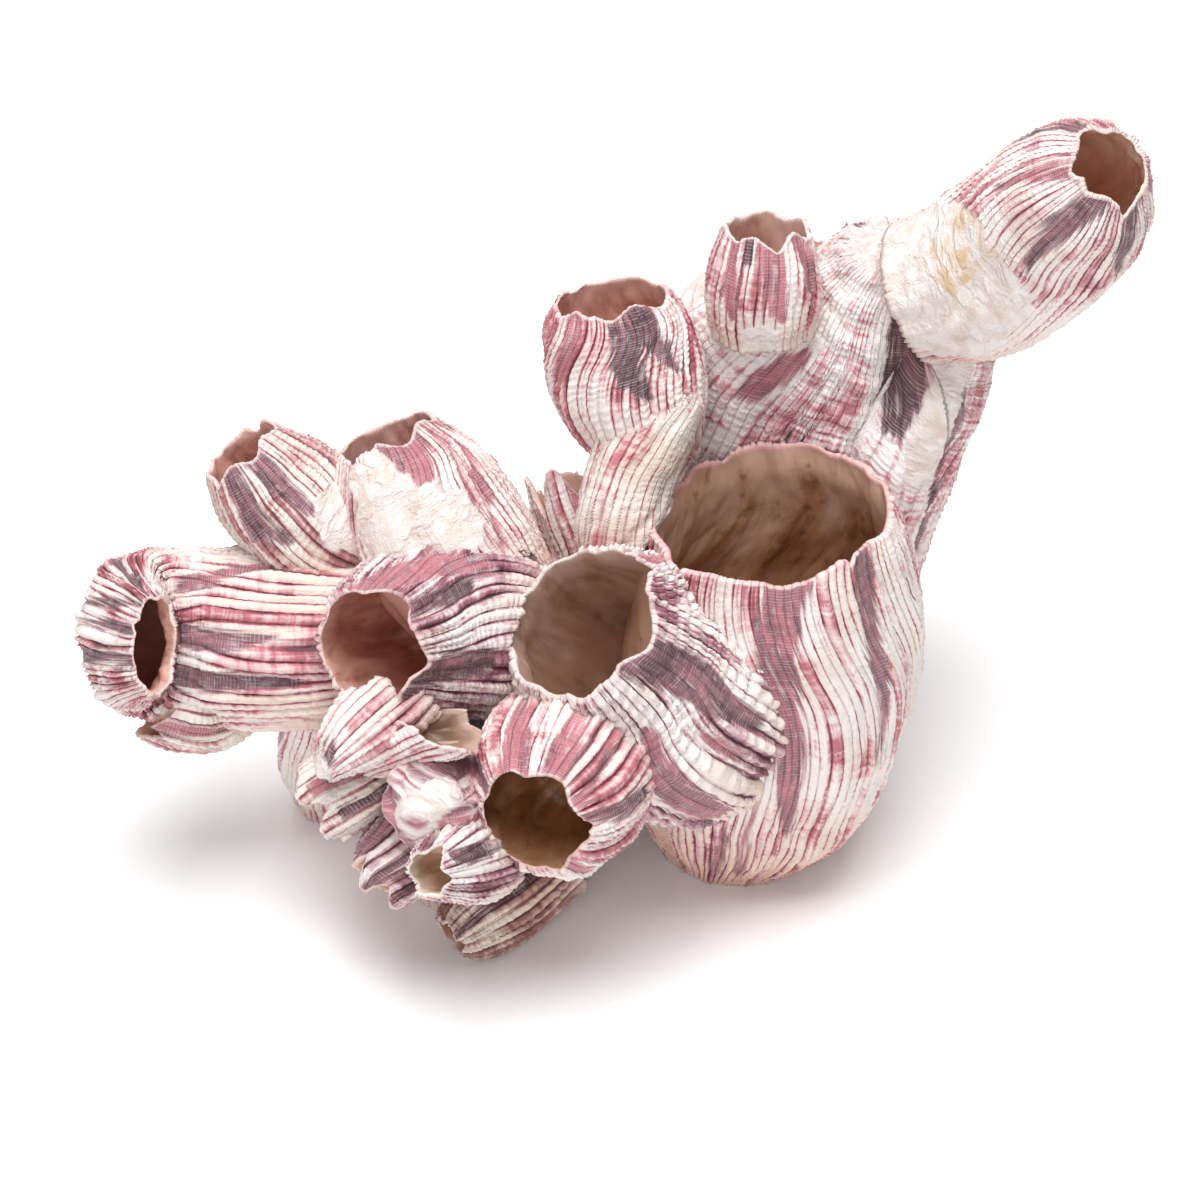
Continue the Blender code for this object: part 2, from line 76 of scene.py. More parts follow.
# spine, radii, hollow, wall, oval, dip and teeth are the shell's solid, in mm and degrees.
# ribs: how many run round it. relief: their height, mm. drift: how many ribs' width they wander.
# growth, bead: height of the growth lines and knobs, mm. terraces: height and spacing, mm.
# bands: smooth sunken stripes: tone (0 pink, 1 dark violet) and a path of side (degrees),
#        share of the way from base to mouth, and half width, mm.
# plain: the sides where a band of the usual shape runs. chips: how worn the edge is.
# scars: white crusted patches: x, y, z and size, mm, and how ochre they are.
# flush: pinker and whiter areas: side and half width, degrees, from and to share, and how much.
# broken: rim broken away: depth, mm, side and half width, degrees.
# host: an older shell whose stripes run on over this one, and the middle and half width of its
#       sides where they do, degrees.
# cap: how far a shell's closed end is covered by a scar. straight: its stripes don't turn round it.
shells = {
    "big_cup_shell": dict(
        spine=[(-0.3, -0.1, -1.5), (3, 1, 16), (6, 2, 38), (4.5, 3.3, 57)],
        radii=[8.5, 16.6, 19.6, 20, 18.2, 15.6], grain=0.36,
        hollow=0.9, wall=1.6, dip=(2.2, 340), look={**roseLook, "peach": 0.85, "groove": 0.8},
        ribs=92, relief=0.62, drift=1.5,
        plain=[110, 165, 215, 262], flush=[(28, 14, 0.3, 1, -0.15), (75, 30, 0.1, 1, -0.15)],
        lining={**tanLining, "lip": "#dfa9aa"},
        bands=[(0.45, [(359, 0.34, 1.0), (353, 0.5, 1.9), (356, 0.66, 2.5), (5, 0.8, 2.8), (14, 0.95, 3.3)]),
               (0.6, [(33, 0.5, 0.5), (39, 0.66, 1.2), (46, 0.76, 1.6), (51, 0.86, 1.8), (53, 0.99, 2.1)]),
               (0.4, [(344, 0.12, 0.8), (342, 0.42, 0.7)]),
               (0.4, [(330, 0.1, 0.8), (333, 0.32, 0.6)])]),
    "left_foot_shell": dict(
        spine=[(-55.5, 9.8, -1.5), (-54.8, 6.5, 11), (-52.5, 0, 27)],
        radii=[5.6, 7.6, 8.2, 6.5], look=paleLook, ribs=34, plain=[30, 150, 270]),
    "core_foot_shell": dict(
        spine=[(-37, -5, -1.5), (-36.5, -7, 13), (-35, -9, 29)],
        radii=[8.5, 11, 10.5, 7.5], look=paleLook, ribs=44, plain=[30, 150, 210, 330]),
    "rear_foot_shell": dict(
        spine=[(-19, 27, -1.5), (-17, 22, 12), (-12, 13, 28)],
        radii=[7, 10, 10.5, 8], look=paleLook, ribs=44, plain=[90, 150, 210, 330]),
    "centre_cone_shell": dict(
        spine=[(1, -4.5, 24), (-7, -8, 31.5), (-14.5, -10, 40.8), (-20.6, -14.3, 51)],
        radii=[11, 15.2, 16.6, 15.6, 13, 10.6],
        hollow=0.8, wall=1.3, look={**plumLook, "pinkness": -0.06, "white": "#ede3df"}, ribs=54, relief=0.7,
        growth=0.3, terraces=(0.5, 2.1), chips=1.3, plain=[150, 210, 270], flush=[(55, 10, 0.3, 1, -0.2)],
        lining=dict(lip="#e3cdc6", near="#cdae9f", mid="#b9937f", deep="#a27c68", stain="#86634f"),
        bands=[(0.8, [(83, 0.36, 0.8), (80, 0.5, 2.2), (74, 0.74, 3.2), (66, 0.94, 3.2)]),
               (0.5, [(29, 0.2, 2.4), (33, 0.36, 2.8), (36, 0.52, 2.2), (37, 0.74, 0.9)]),
               (0.35, [(65, 0.34, 0.5), (63, 0.43, 1.2), (60, 0.52, 0.8)])]),
    "hood_shell": dict(
        spine=[(8.5, 35, 32.7), (9, 34.5, 43), (14, 33.3, 57.9), (19, 31, 69.7), (21.5, 29, 79)],
        radii=[13, 16, 18.3, 16, 12, 7.5], grain=0.34,
        oval=[(1, 0.85), (1, 0.85)], look=hoodLook,
        ribs=88, relief=0.16, growth=0.35, bead=0.3, terraces=(0.7, 5.2), plain=[90, 150, 210],
        flush=[(330, 22, 0.4, 0.69, 0.42), (325, 14, 0.72, 0.9, 0.15), (350, 3, 0.5, 1, -0.6),
               (14, 9, 0.5, 0.9, 0.4), (356, 3, 0.45, 0.6, -0.15), (290, 8, 0.3, 0.6, 0.25),
               (299, 4, 0.45, 0.6, -0.5),
               (305, 5, 0.6, 0.8, -0.5), (309, 7, 0.78, 1.2, -0.5)],
        bands=[(1.0, [(358, 0.64, 1.0), (1, 0.7, 1.7), (4, 0.8, 2.1), (4, 1.0, 1.9)]),
               (0.25, [(299, 0.53, 0.8), (300, 0.59, 2.0), (303, 0.68, 1.2)])],
        scars=[(10.6, 20.4, 69.5, 1.4, 0), (8.6, 19.8, 69.2, 1.6, 0)]),
    "top_back_shell": dict(
        spine=[(0, 32, 42), (2, 31, 57), (3.5, 30, 67), (4, 29.5, 74.5)],
        radii=[10, 12, 12, 10.5, 6],
        look=hoodLook, host=("hood_shell", 0, 180), growth=0.3, bead=0.3,
        ribs=88, relief=0.2,
        plain=[],
        scars=[(-6, 32, 71, 5.0, 0), (-1, 22, 72, 3.5, 0.1), (0, 18, 71, 2.4, 0), (4, 18, 71.5, 2.4, 0),
               (8, 19, 71.5, 2.4, 0)]),
    "side_wall_shell": dict(
        spine=[(-13, 3, 38), (-14.8, 5, 49), (-13.5, 9, 57.6), (-10.5, 12, 63.5), (-7.5, 15, 67)],
        radii=[4.5, 6, 6, 5.8, 4.5],
        look={**creamLook, "rose": "#cc7f87", "deep": "#b0606b", "groove": 0.6, "pinkness": -0.13,
              "dashes": 0.9},
        ribs=30, relief=0.1, growth=0.12, bead=0.25, straight=True),
    "right_back_shell": dict(
        spine=[(19.5, 18, 27), (21, 20, 41), (23.8, 22, 53), (27.5, 24.5, 62), (30.3, 25.5, 68)],
        radii=[6, 7.5, 7.8, 7.5, 6], look={**hoodLook, "bandPink": "#d0929b"}, ribs=34, relief=0.3,
        host=("hood_shell", 330, 44), growth=0.3, flush=[(40, 60, 0, 1, 0.3)],
        plain=[90, 150],
        bands=[(0.7, [(30, 0.2, 0.8), (10, 0.35, 1.2), (355, 0.5, 1.2), (345, 0.66, 0.9), (340, 0.8, 1.0)])],
        scars=[(30.5, 20, 70.5, 3.2, 0), (29.3, 18.9, 67.6, 3, 0.2), (28, 17.1, 64, 2.9, 0),
               (27.4, 16.5, 62, 2.7, 0.4), (26.9, 15.9, 60, 2.6, 0),
               (26.3, 15.4, 58.3, 2.6, 0.3), (25.7, 14.9, 56.6, 2.6, 0),
               (25.3, 14.3, 54.6, 2.4, 0.2), (25, 13.7, 52.6, 2.4, 0)]),
    "upper_right_shell": dict(
        spine=[(24.4, 25, 75.1), (33.5, 22, 80.8), (39.8, 18, 89.9), (43, 13.5, 97.5),
               (45.2, 10.5, 102.2)],
        radii=[9.5, 11.1, 11.2, 10.6, 8.8, 5.2],
        hollow=0.85, wall=1.2, look={**paleLook, "pinkness": -0.06}, ribs=62, relief=0.36, plain=[150, 210],
        lining=dict(lip="#f0d8cb", near="#f3d0bd", mid="#ecb9a0", deep="#dc9c82", stain="#a86f58"),
        bands=[(0.85, [(317, 0.56, 0.6), (318, 0.68, 1.5), (317, 0.8, 1.9), (324, 0.97, 1.8)]),
               (0.95, [(30, 0.6, 0.6), (21, 0.76, 1.5), (24, 0.97, 1.4)]),
               (0.3, [(262, 0.62, 0.5), (268, 0.8, 1.0), (275, 0.97, 0.9)]),
               (0.4, [(90, 0.3, 0.5), (82, 0.6, 1.5), (84, 0.97, 1.4)])],
        scars=[(27, 15, 86, 7.4, 0.8), (31, 11, 83, 6.2, 0.1), (24, 20, 87, 5.5, 0.4), (24, 15, 81, 6, 0),
               (30, 13, 76, 5, 0), (22, 22, 84, 5.5, 0.2), (26, 13, 76, 5, 0)]),
    "top_small_shell": dict(
        spine=[(3.7, 21, 72), (3.5, 21.4, 79.5), (3.6, 22.3, 87.5)],
        radii=[6, 7.1, 7.3, 6.6, 5.3],
        hollow=0.75, wall=0.9, look={**roseLook, "ribbing": 0.6, "groove": 0.8},
        ribs=30, relief=0.42, chips=0.6, plain=[120, 180, 240],
        lining=paleLining, flush=[(0, 180, 0.45, 1, 0.26), (0, 180, 0, 0.35, -0.05), (340, 5, 0.5, 1, -0.5),
                                  (30, 5, 0.5, 1, -0.5)],
        bands=[(0.1, [(329, 0.3, 0.6), (318, 0.56, 1.3), (306, 0.95, 1.3)]),
               (0.1, [(23, 0.3, 0.8), (9, 0.6, 1.7), (2, 0.97, 1.8)]),
               (1.0, [(338, 0.78, 0.3), (335, 0.97, 0.6)]),
               (0.3, [(58, 0.5, 0.8), (55, 0.78, 1.3), (49, 0.97, 1.4)])],
        scars=[(3, 14.5, 74, 2.4, 0.2)]),
    "top_nub_shell": dict(
        spine=[(13.8, 31, 70), (13.6, 31.5, 75), (13.4, 32, 79.5)],
        radii=[4, 4.4, 4, 3], hollow=0.4, wall=0.9, teeth=0.7, look=paleLook, ribs=12, plain=[30, 210]),
    "upper_left_shell": dict(
        spine=[(-8.5, 14, 55), (-12.7, 16.5, 63.5), (-15.2, 18.7, 71), (-16.3, 20.3, 78)],
        radii=[4, 8.2, 10.1, 10.2, 9.2, 7.2],
        hollow=0.75, wall=1.0, look={**roseLook, "pinkness": 0.06},
        ribs=46, relief=0.5, plain=[150, 210, 270],
        lining=rosyLining, flush=[(0, 180, 0, 0.4, -0.12)],
        bands=[(0.95, [(58, 0.42, 0.5), (47, 0.53, 1.7), (28, 0.71, 2.2), (18, 0.96, 1.4)]),
               (0.9, [(82, 0.5, 0.4), (73, 0.61, 1.3), (52, 0.78, 1.9), (43, 0.97, 1.6)]),
               (0.2, [(337, 0.6, 0.8), (336, 0.81, 1.0), (334, 0.97, 1.2)])]),
    "broken_back_shell": dict(
        spine=[(-17, 12, 36), (-19.8, 16, 44), (-22.4, 20, 51.5)],
        radii=[4.5, 6, 6.5, 6.3], hollow=0.5, wall=1.0, teeth=1.2, look=roseLook, ribs=26, chips=2.0,
        plain=[60, 210]),
    "back_left_shell": dict(
        spine=[(-31, 2, 38), (-37, 5, 46), (-43, 8.7, 55), (-46.3, 11.3, 62.3)],
        radii=[9.5, 11.3, 11.7, 9.9, 6.6],
        hollow=0.8, wall=1.1, look={**paleLook, "pinkness": -0.14},
        ribs=60, relief=0.34, plain=[210, 270, 330],
        lining=rosyLining,
        bands=[(0.3, [(81, 0.56, 0.4), (78, 0.7, 1.0), (75, 0.78, 2.4), (73, 0.97, 3.1)]),
               (0.1, [(104, 0.3, 0.5), (121, 0.5, 0.6), (128, 0.7, 0.6), (130, 0.97, 0.6)]),
               (0.1, [(98, 0.3, 0.4), (108, 0.6, 0.5), (112, 0.97, 0.4)]),
               (0.35, [(50, 0.8, 0.5), (48, 0.97, 1.1)])],
        scars=[(-44, -2, 57, 6.0, 0.05), (-37, -2, 57, 4.6, 0), (-47, 2, 61, 3.6, 0.3),
               (-40, -4, 52, 4.5, 0)]),
    "far_left_shell": dict(
        spine=[(-48, 7, 45.5), (-56, 8, 50.5), (-61.5, 8.6, 55.8), (-65.5, 9.4, 61.3)],
        radii=[7, 8.9, 9, 8, 5.6],
        hollow=0.75, wall=1.0, oval=[(1, 1), (0.9, 1)], look={**creamLook, "pinkness": -0.04},
        ribs=38, relief=0.5, plain=[210, 270, 330], lining=rosyLining,
        bands=[(0.75, [(50, 0.42, 0.5), (38, 0.59, 1.4), (39, 0.78, 1.8), (36, 0.96, 1.7)]),
               (0.75, [(81, 0.42, 0.6), (82, 0.56, 1.4), (82, 0.74, 1.6), (73, 0.96, 1.4)]),
               (0.3, [(162, 0.5, 0.5), (158, 0.65, 0.7), (147, 0.96, 0.9)])],
        scars=[(-52, 11, 51, 5.5, 0), (-50, 2, 55, 5.0, 0.1)]),
    "left_cup_shell": dict(
        spine=[(-28, 0, 38), (-36, -3.5, 41.6), (-43, -9, 44.3), (-47.4, -16.5, 47.9)],
        radii=[9.5, 11.5, 11.9, 11, 9.5, 7.6],
        hollow=0.8, wall=1.1, look={**plumLook, "pinkness": 0.08},
        ribs=40, relief=0.85, plain=[240, 290, 340],
        flush=[(100, 22, 0, 1, -0.12)],
        lining=dict(lip="#dfb9b5", near="#dcab9c", mid="#c08473", deep="#a06353", stain="#733f34"),
        bands=[(0.3, [(130, 0.38, 1.2), (146, 0.58, 2.6), (163, 0.81, 3.3), (178, 0.97, 3.4)]),
               (0.8, [(120, 0.5, 1.0), (125, 0.92, 1.2)]),
               (0.9, [(68, 0.45, 1.8), (68, 0.7, 2.5), (66, 0.86, 2.4), (50, 0.99, 2.0)])]),
    "curved_left_shell": dict(
        spine=[(-45, 0, 37), (-60, -1, 37), (-72, -1, 37.8), (-79.2, -4.5, 40.6),
               (-77.6, -11, 44.8), (-73.8, -17, 48.8)],
        radii=[10.5, 11.8, 11.8, 11.2, 9.8, 8, 6.2],
        hollow=0.65, wall=0.8, oval=[(1, 1), (0.48, 1.05)], look=roseLook, ribs=46, relief=0.8, drift=6.0,
        plain=[30, 190],
        lining=dict(lip="#efcfc6", near="#f0c7bb", mid="#e5b0a1", deep="#d39585", stain="#a8685a"),
        bands=[(0.35, [(148, 0.16, 0.5), (144, 0.26, 1.2), (130, 0.36, 1.2), (122, 0.5, 0.9)]),
               (0.75, [(97, 0.17, 0.2), (91, 0.25, 1.1), (88, 0.32, 1.6), (96, 0.99, 1.7)]),
               (0.7, [(63, 0.16, 0.3), (64, 0.24, 1.2), (60, 0.31, 1.8), (64, 0.8, 1.6)]),
               (0.8, [(284, 0.6, 1.0), (284, 0.85, 1.3), (286, 0.98, 0.8)]),
               (0.7, [(258, 0.7, 0.6), (251, 0.97, 0.8)]),
               (0.6, [(247, 0.6, 0.4), (232, 0.85, 0.7), (219, 0.98, 0.5)])]),
    "under_left_shell": dict(
        spine=[(-65, -4, 30), (-71, -5.5, 29.5), (-78, -7.5, 32.5)],
        radii=[4, 6, 6.6, 5.6], hollow=0.5, wall=0.9, look={**creamLook, "pinkness": -0.1},
        ribs=26, chips=1.6, plain=[50, 210, 300]),
    "front_cup_shell": dict(
        spine=[(-18.5, -13, 29), (-21.7, -21, 31.8), (-24.4, -28.5, 32.4), (-26.3, -33, 33.2)],
        radii=[8.5, 11, 11.6, 11.2, 9.5, 6.8],
        hollow=0.8, wall=1.0, look=roseLook, ribs=36, relief=0.75, plain=[270, 320, 30],
        # its darker brown lining is partly its own colour and partly painted shade of the deep hollow
        lining=dict(lip="#d2aaa0", near="#cb9f7f", mid="#b0805b", deep="#8d5b37", stain="#633a1e"),
        bands=[(0.15, [(197, 0.4, 1.0), (191, 0.67, 2.1), (193, 0.97, 2.0)]),
               (0.2, [(155, 0.4, 1.2), (152, 0.64, 1.8), (147, 0.97, 1.8)]),
               (0.3, [(128, 0.5, 0.7), (115, 0.9, 0.8)]),
               (0.85, [(85, 0.45, 0.8), (87, 0.62, 1.5), (93, 0.9, 1.2)]),
               (0.5, [(240, 0.5, 0.8), (236, 0.9, 1.2)])]),
    "front_foot_shell": dict(
        spine=[(-24, -11, 7), (-31, -18, 5), (-35.3, -21.5, 4), (-38, -23.7, 3.2)],
        radii=[5.5, 6, 5.4, 4.4, 2.8], hollow=0.4, wall=0.8,
        look={**creamLook, "white": "#efe0d2", "cream": "#e6cdb6", "pale": "#cfaca1", "rose": "#a5736c",
              "deep": "#7c4f4c", "plum": "#583a3c", "pinkness": 0.03}, ribs=28, relief=0.6,
        plain=[115, 200, 300]),
    "broken_base_plate": dict(
        spine=[(-34, -16, 26), (-37.5, -23, 28.5), (-41, -29.5, 32.5)],
        radii=[5, 6.4, 6.8, 5.6], teeth=0.8, look=paleLook, ribs=22, relief=0.25, chips=2.0, plain=[],
        host=("front_cup_shell", 0, 180), scars=[(-38, -30, 35, 3.0, 0)], cap=0.47),
    "tiny_shell": dict(
        spine=[(-31.5, -26, 22), (-36.5, -32, 25), (-40.2, -36.5, 27.5)],
        radii=[5.2, 5.9, 5.4, 4.2, 2.8], hollow=0.6, wall=0.8, look=plumLook, ribs=26, chips=2, plain=[240],
        lining=dict(lip="#efe0d4", near="#ecd9cb", mid="#dcc0ac", deep="#b8937b", stain="#97725c"),
        bands=[(0.9, [(110, 0.4, 0.8), (116, 0.62, 1.3), (128, 0.8, 1.2)])]),
    "dark_fragment_shell": dict(
        spine=[(-40, -18, 21.5), (-44.5, -24, 18.3), (-47.8, -27, 14.8)],
        radii=[4.5, 5.6, 5.4, 4.2], hollow=0.4, wall=0.9, teeth=0.8,
        look={**plumLook, "pinkness": 0.2, "rose": "#93666a", "deep": "#6b4447", "plum": "#472c2e"},
        ribs=22, chips=2.0, plain=[],
        bands=[(0.6, [(165, 0.2, 1.0), (165, 0.46, 1.6), (168, 0.8, 1.0)]),
               (0.9, [(95, 0.4, 0.8), (95, 0.9, 1.3)])]),
    "lower_left_shell": dict(
        spine=[(-44, -13, 29), (-50, -17, 26), (-55.6, -18.8, 22.8)],
        radii=[4.5, 5.3, 5.8, 5.8], hollow=0.5, wall=1.0, teeth=0.6, look=creamLook, ribs=24, chips=1.6,
        plain=[230],
        bands=[(0.25, [(110, 0.4, 0.8), (110, 0.81, 1.3)]), (0.9, [(60, 0.3, 0.7), (62, 0.7, 1.0)])]),
    "tip_shell": dict(
        spine=[(-42, -15, 40), (-48, -19.5, 36.7), (-53.8, -24, 33.2)],
        radii=[4.6, 5.6, 5.2, 3.6, 1.8], look=paleLook, ribs=20, plain=[],
        bands=[(1.0, [(140, 0.72, 0.5), (128, 0.84, 1.4), (120, 0.97, 1.3)])]),
    "striped_small_shell": dict(
        spine=[(-47.5, -19, 31.5), (-41.5, -20, 36.5), (-37, -21.8, 40.6), (-34, -23, 43)],
        radii=[2.5, 4, 4.9, 5.3, 5.3], hollow=0.6, wall=0.8, teeth=0.6, look={**roseLook, "pinkness": 0.08},
        ribs=24, relief=0.4, chips=1.5, plain=[60], broken=(11.5, 190, 105),
        # its greyish lining is painted shade in the half-hidden opening
        lining=dict(lip="#cdb3a8", near="#bfa291", mid="#9f8270", deep="#7d6150", stain="#5f4638")),
    "rear_cup_shell": dict(
        spine=[(-24, 8, 32), (-30, 14, 31), (-34, 22, 31), (-36, 29, 32.5)],
        radii=[9, 11, 11, 9.3, 6.5], hollow=0.7, wall=1.0, look=roseLook, ribs=44,
        plain=[30, 90, 150, 210, 270, 330]),
}
shellDefaults = dict(hollow=0, wall=1.0, oval=[(1, 1), (1, 1)], dip=(0, 0), teeth=0.4, relief=0.61,
                     grain=grain, drift=2.5, growth=0.22, bead=0.5, terraces=(0.0, 2.5), chips=1.0,
                     bands=[], plain=[], scars=[], flush=[], broken=(0, 0, 1), host=("", 0, 0),
                     cap=1.0, straight=False, lining=tanLining)


def between(values, share):
    # the value at a share of the way along a list of points, on a smooth curve through them
    place = share * (len(values) - 1)
    i = min(int(place), len(values) - 2)
    f = place - i
    b, c = values[i], values[i + 1]
    a = values[i - 1] if i > 0 else b + (b - c)
    d = values[i + 2] if i + 2 < len(values) else c + (c - b)
    return (b * 2 + (c - a) * f + (a * 2 - b * 5 + c * 4 - d) * f * f
            + (b * 3 - a - c * 3 + d) * f ** 3) * 0.5


def unit(vectors):
    return vectors / np.linalg.norm(vectors, axis=-1, keepdims=True)


def smooth(low, high, value):
    t = np.clip((value - low) / (high - low), 0, 1)
    return t * t * (3 - 2 * t)


def sideGap(turn, side):
    # the angle between two sides, never more than half a turn
    return np.abs((turn - side + math.pi) % math.tau - math.pi)


class GrownShell:
    # one barnacle's spine, radius and rim, in mm, for whole arrays of turns and shares

    def __init__(self, number, name, facts):
        facts = {**shellDefaults, **facts}
        self.name = name
        self.facts = facts
        self.hollow = facts["hollow"]
        self.floor = 1 - self.hollow
        self.wall = facts["wall"]
        spine = [np.array(p, float) for p in facts["spine"]]
        self.shares = np.linspace(0, 1, 101)
        self.middle = np.array([between(spine, s) for s in self.shares])
        before = np.array([between(spine, max(s - 0.02, 0)) for s in self.shares])
        after = np.array([between(spine, min(s + 0.02, 1)) for s in self.shares])
        self.ahead = unit(after - before)
        self.down = unit(downFront - self.ahead * (self.ahead @ downFront)[:, None])
        self.across = np.cross(self.ahead, self.down)
        radii = [float(r) for r in facts["radii"]]
        self.radius = np.array([between(radii, s) for s in self.shares])
        self.length = np.linalg.norm(np.diff(self.middle, axis=0), axis=1).sum()
        self.widest = self.radius.max()
        self.low = self.middle.min(0) - self.widest - 2
        self.high = self.middle.max(0) + self.widest + 2
        self.sides = np.linspace(0, math.tau, 1441)
        self.edges = self.rim(self.sides) - self.worn(number) / self.length

    def at(self, table, share):
        place = np.clip(share, 0, 1) * (len(self.shares) - 1)
        i = np.minimum(place.astype(int), len(self.shares) - 2)
        f = place - i
        if table.ndim == 1:
            return table[i] * (1 - f) + table[i + 1] * f
        return table[i] * (1 - f)[..., None] + table[i + 1] * f[..., None]

    def ovals(self, share):
        (baseWide, baseDeep), (mouthWide, mouthDeep) = self.facts["oval"]
        return baseWide * (1 - share) + mouthWide * share, baseDeep * (1 - share) + mouthDeep * share

    def rim(self, turn):
        drop, side = self.facts["dip"]
        dip = drop * (1 + np.cos(turn - math.radians(side))) / 2
        worn = self.facts["teeth"] * (2 + np.sin(plates * turn) + np.sin(5 * turn + 1))
        return 1 - (dip + worn) / self.length

    def worn(self, number):
        # how much is broken off the rim on each side, mm: long waves, soft teeth and larger bites
        draw = np.random.default_rng(40 + number)
        mouth = self.radius[-1]
        lost = np.full(len(self.sides), -0.1)
        for spacing, deep in ((7.0, 1.0), (2.2, 0.4)):
            count = max(5, int(math.tau * mouth / spacing))
            knots = draw.random(count)
            place = self.sides / math.tau * count
            whole = place.astype(int)
            f = smooth(0, 1, place - whole)
            lost += ((knots[whole % count] * (1 - f) + knots[(whole + 1) % count] * f) - 0.5) * deep
        for bite in range(6):
            side, wide = draw.random() * math.tau, 0.6 + 1.3 * draw.random()
            deep = 0.3 + 1.3 * draw.random() ** 2
            off = sideGap(self.sides, side) * mouth
            lost = np.maximum(lost, lost * 0.4 + deep * np.clip(1 - off / wide, 0, 1) ** 0.5)
        deep, side, half = self.facts["broken"]
        away = smooth(1.6, 0.2, sideGap(self.sides, math.radians(side)) / math.radians(half))
        return lost * self.facts["chips"] + deep * away

    def edge(self, turn):
        return np.interp(turn % math.tau, self.sides, self.edges)

    def joint(self, turn):
        return 1 - plateDip * np.maximum(0, np.cos(plates * turn)) ** 2

    def point(self, turn, share, inset):
        radius = self.at(self.radius, share) * self.joint(turn)
        wide, deep = self.ovals(share)
        return (self.at(self.middle, share)
                + self.at(self.down, share) * (np.cos(turn) * (radius * deep - inset))[..., None]
                + self.at(self.across, share) * (np.sin(turn) * (radius * wide - inset))[..., None])

    def wallAt(self, share):
        return self.wall * (1 + floorThickening * (1 - share) / max(self.hollow, 0.1))

    def locate(self, points):
        # share, turn and depth under the outer surface of points; depth is negative outside
        share = np.empty(len(points))
        for start in range(0, len(points), 20000):
            part = points[start:start + 20000]
            gaps = ((part[:, None, :] - self.middle[None, ::2, :]) ** 2).sum(2)
            share[start:start + 20000] = self.shares[::2][gaps.argmin(1)]
        for step in range(2):
            away = points - self.at(self.middle, share)
            share = share + (away * self.at(self.ahead, share)).sum(1) / self.length
            if step == 0:
                share = np.clip(share, -0.2, 1.2)
        away = points - self.at(self.middle, share)
        x = (away * self.at(self.across, share)).sum(1)
        y = (away * self.at(self.down, share)).sum(1)
        wide, deep = self.ovals(np.clip(share, 0, 1))
        turn = np.arctan2(x / wide, y / deep)
        radius = self.at(self.radius, share) * self.joint(turn)
        reach = np.hypot(x / wide, y / deep)
        return share, turn, radius - reach

    def thickness(self, turn, share):
        # of the wall, which thins towards its worn edge
        below = (self.edge(turn) - share) * self.length
        return self.wallAt(share) * (lipThickness + (1 - lipThickness) * smooth(0, lipDepth, below))

    def skin(self, turn, share):
        # how far under its outer surface a younger shell ends, hidden
        return self.thickness(turn, share) * 0.5 if self.hollow else 0.9

    def within(self, points):
        # which points lie under a younger shell's reach, the mouth closed
        found = np.zeros(len(points), bool)
        near = np.all((points > self.low) & (points < self.high), axis=1)
        if near.any():
            share, turn, under = self.locate(points[near])
            found[near] = (under > self.skin(turn, share)) & (share > 0) & (share < self.rim(turn))
        return found


grown = [GrownShell(number, name, facts) for number, (name, facts) in enumerate(shells.items())]


def firstCovered(older, turns, path, standing=False):
    # for each side, how far down its wall the shell runs free of older shells, as a share of path;
    # the wall of a shell that stands on the floor comes out again under a neighbour
    steps = 110
    travel = np.linspace(0, 1, steps)
    points = path(np.repeat(turns, steps), np.tile(travel, len(turns)))
    covered = points[:, 2] < 0
    for other in older:
        covered |= other.within(points)
    covered = covered.reshape(len(turns), steps)
    first = np.where(covered.any(1), covered.argmax(1), steps)
    if standing:
        first = steps - (~covered)[:, ::-1].argmax(1)
    reach = np.clip((first + 0.5) / (steps - 1), 0.02, 1)
    wide = np.array([np.roll(reach, k) for k in range(-2, 3)])
    return wide.max(0) * 0.5 + wide.mean(0) * 0.5


def tuckIn(points, older):
    # points in the hollow of an older shell move into its wall, and none is under the floor;
    # gives which ones moved
    moved = np.zeros(len(points), bool)
    for other in older:
        if not other.hollow:
            continue
        near = np.all((points > other.low) & (points < other.high), axis=1)
        if not near.any():
            continue
        part = points[near]
        share, turn, under = other.locate(part)
        skin = other.skin(turn, share)
        deep = (under > skin) & (share > 0) & (share < other.rim(turn))
        part[deep] = other.point(turn[deep], share[deep], skin[deep])
        points[near] = part
        moved[near] |= deep
    points[:, 2] = np.maximum(points[:, 2], 0.0)
    return moved


def bandFacts(shell, turn, share):
    # how far each point lies into a band, 0.5 at its edge, and that band's tone
    mouth = math.radians(12) * shell.radius[-1]
    paths = list(shell.facts["bands"])
    for side in shell.facts["plain"]:
        path = [(side, 0.15, 0.3), (side + 5, 0.55, mouth * 0.7), (side, 1, mouth)]
        paths.append((0.45 + 0.4 * math.sin(side), path))
    radius = shell.at(shell.radius, share)
    band, bandTone = np.zeros(len(share)), np.zeros(len(share))
    for tone, path in paths:
        shares = [knot[1] for knot in path]
        middle = np.interp(share, shares, np.unwrap(np.radians([knot[0] for knot in path])))
        half = np.interp(share, shares, [knot[2] for knot in path])
        inside = np.clip(0.5 + (half - sideGap(turn, middle) * radius) / bandFringe, 0, 1)
        inside = inside * smooth(shares[0] - 0.08, shares[0] + 0.02, share)
        if shares[-1] < 0.85:
            inside = inside * smooth(shares[-1] + 0.08, shares[-1] - 0.02, share)
        bandTone = np.where(inside > band, tone, bandTone)
        band = np.maximum(band, inside)
    return band, bandTone


def flushFacts(shell, turn, share):
    # how much pinker, or whiter if below zero, each point is than the rest of its shell
    flush = np.zeros(len(share))
    for side, half, low, high, amount in shell.facts["flush"]:
        across = smooth(1.4, 0.6, sideGap(turn, math.radians(side)) / math.radians(half))
        over = smooth(low - 0.08, low + 0.08, share)
        flush += amount * across * over * smooth(high + 0.08, high - 0.08, share)
    return flush


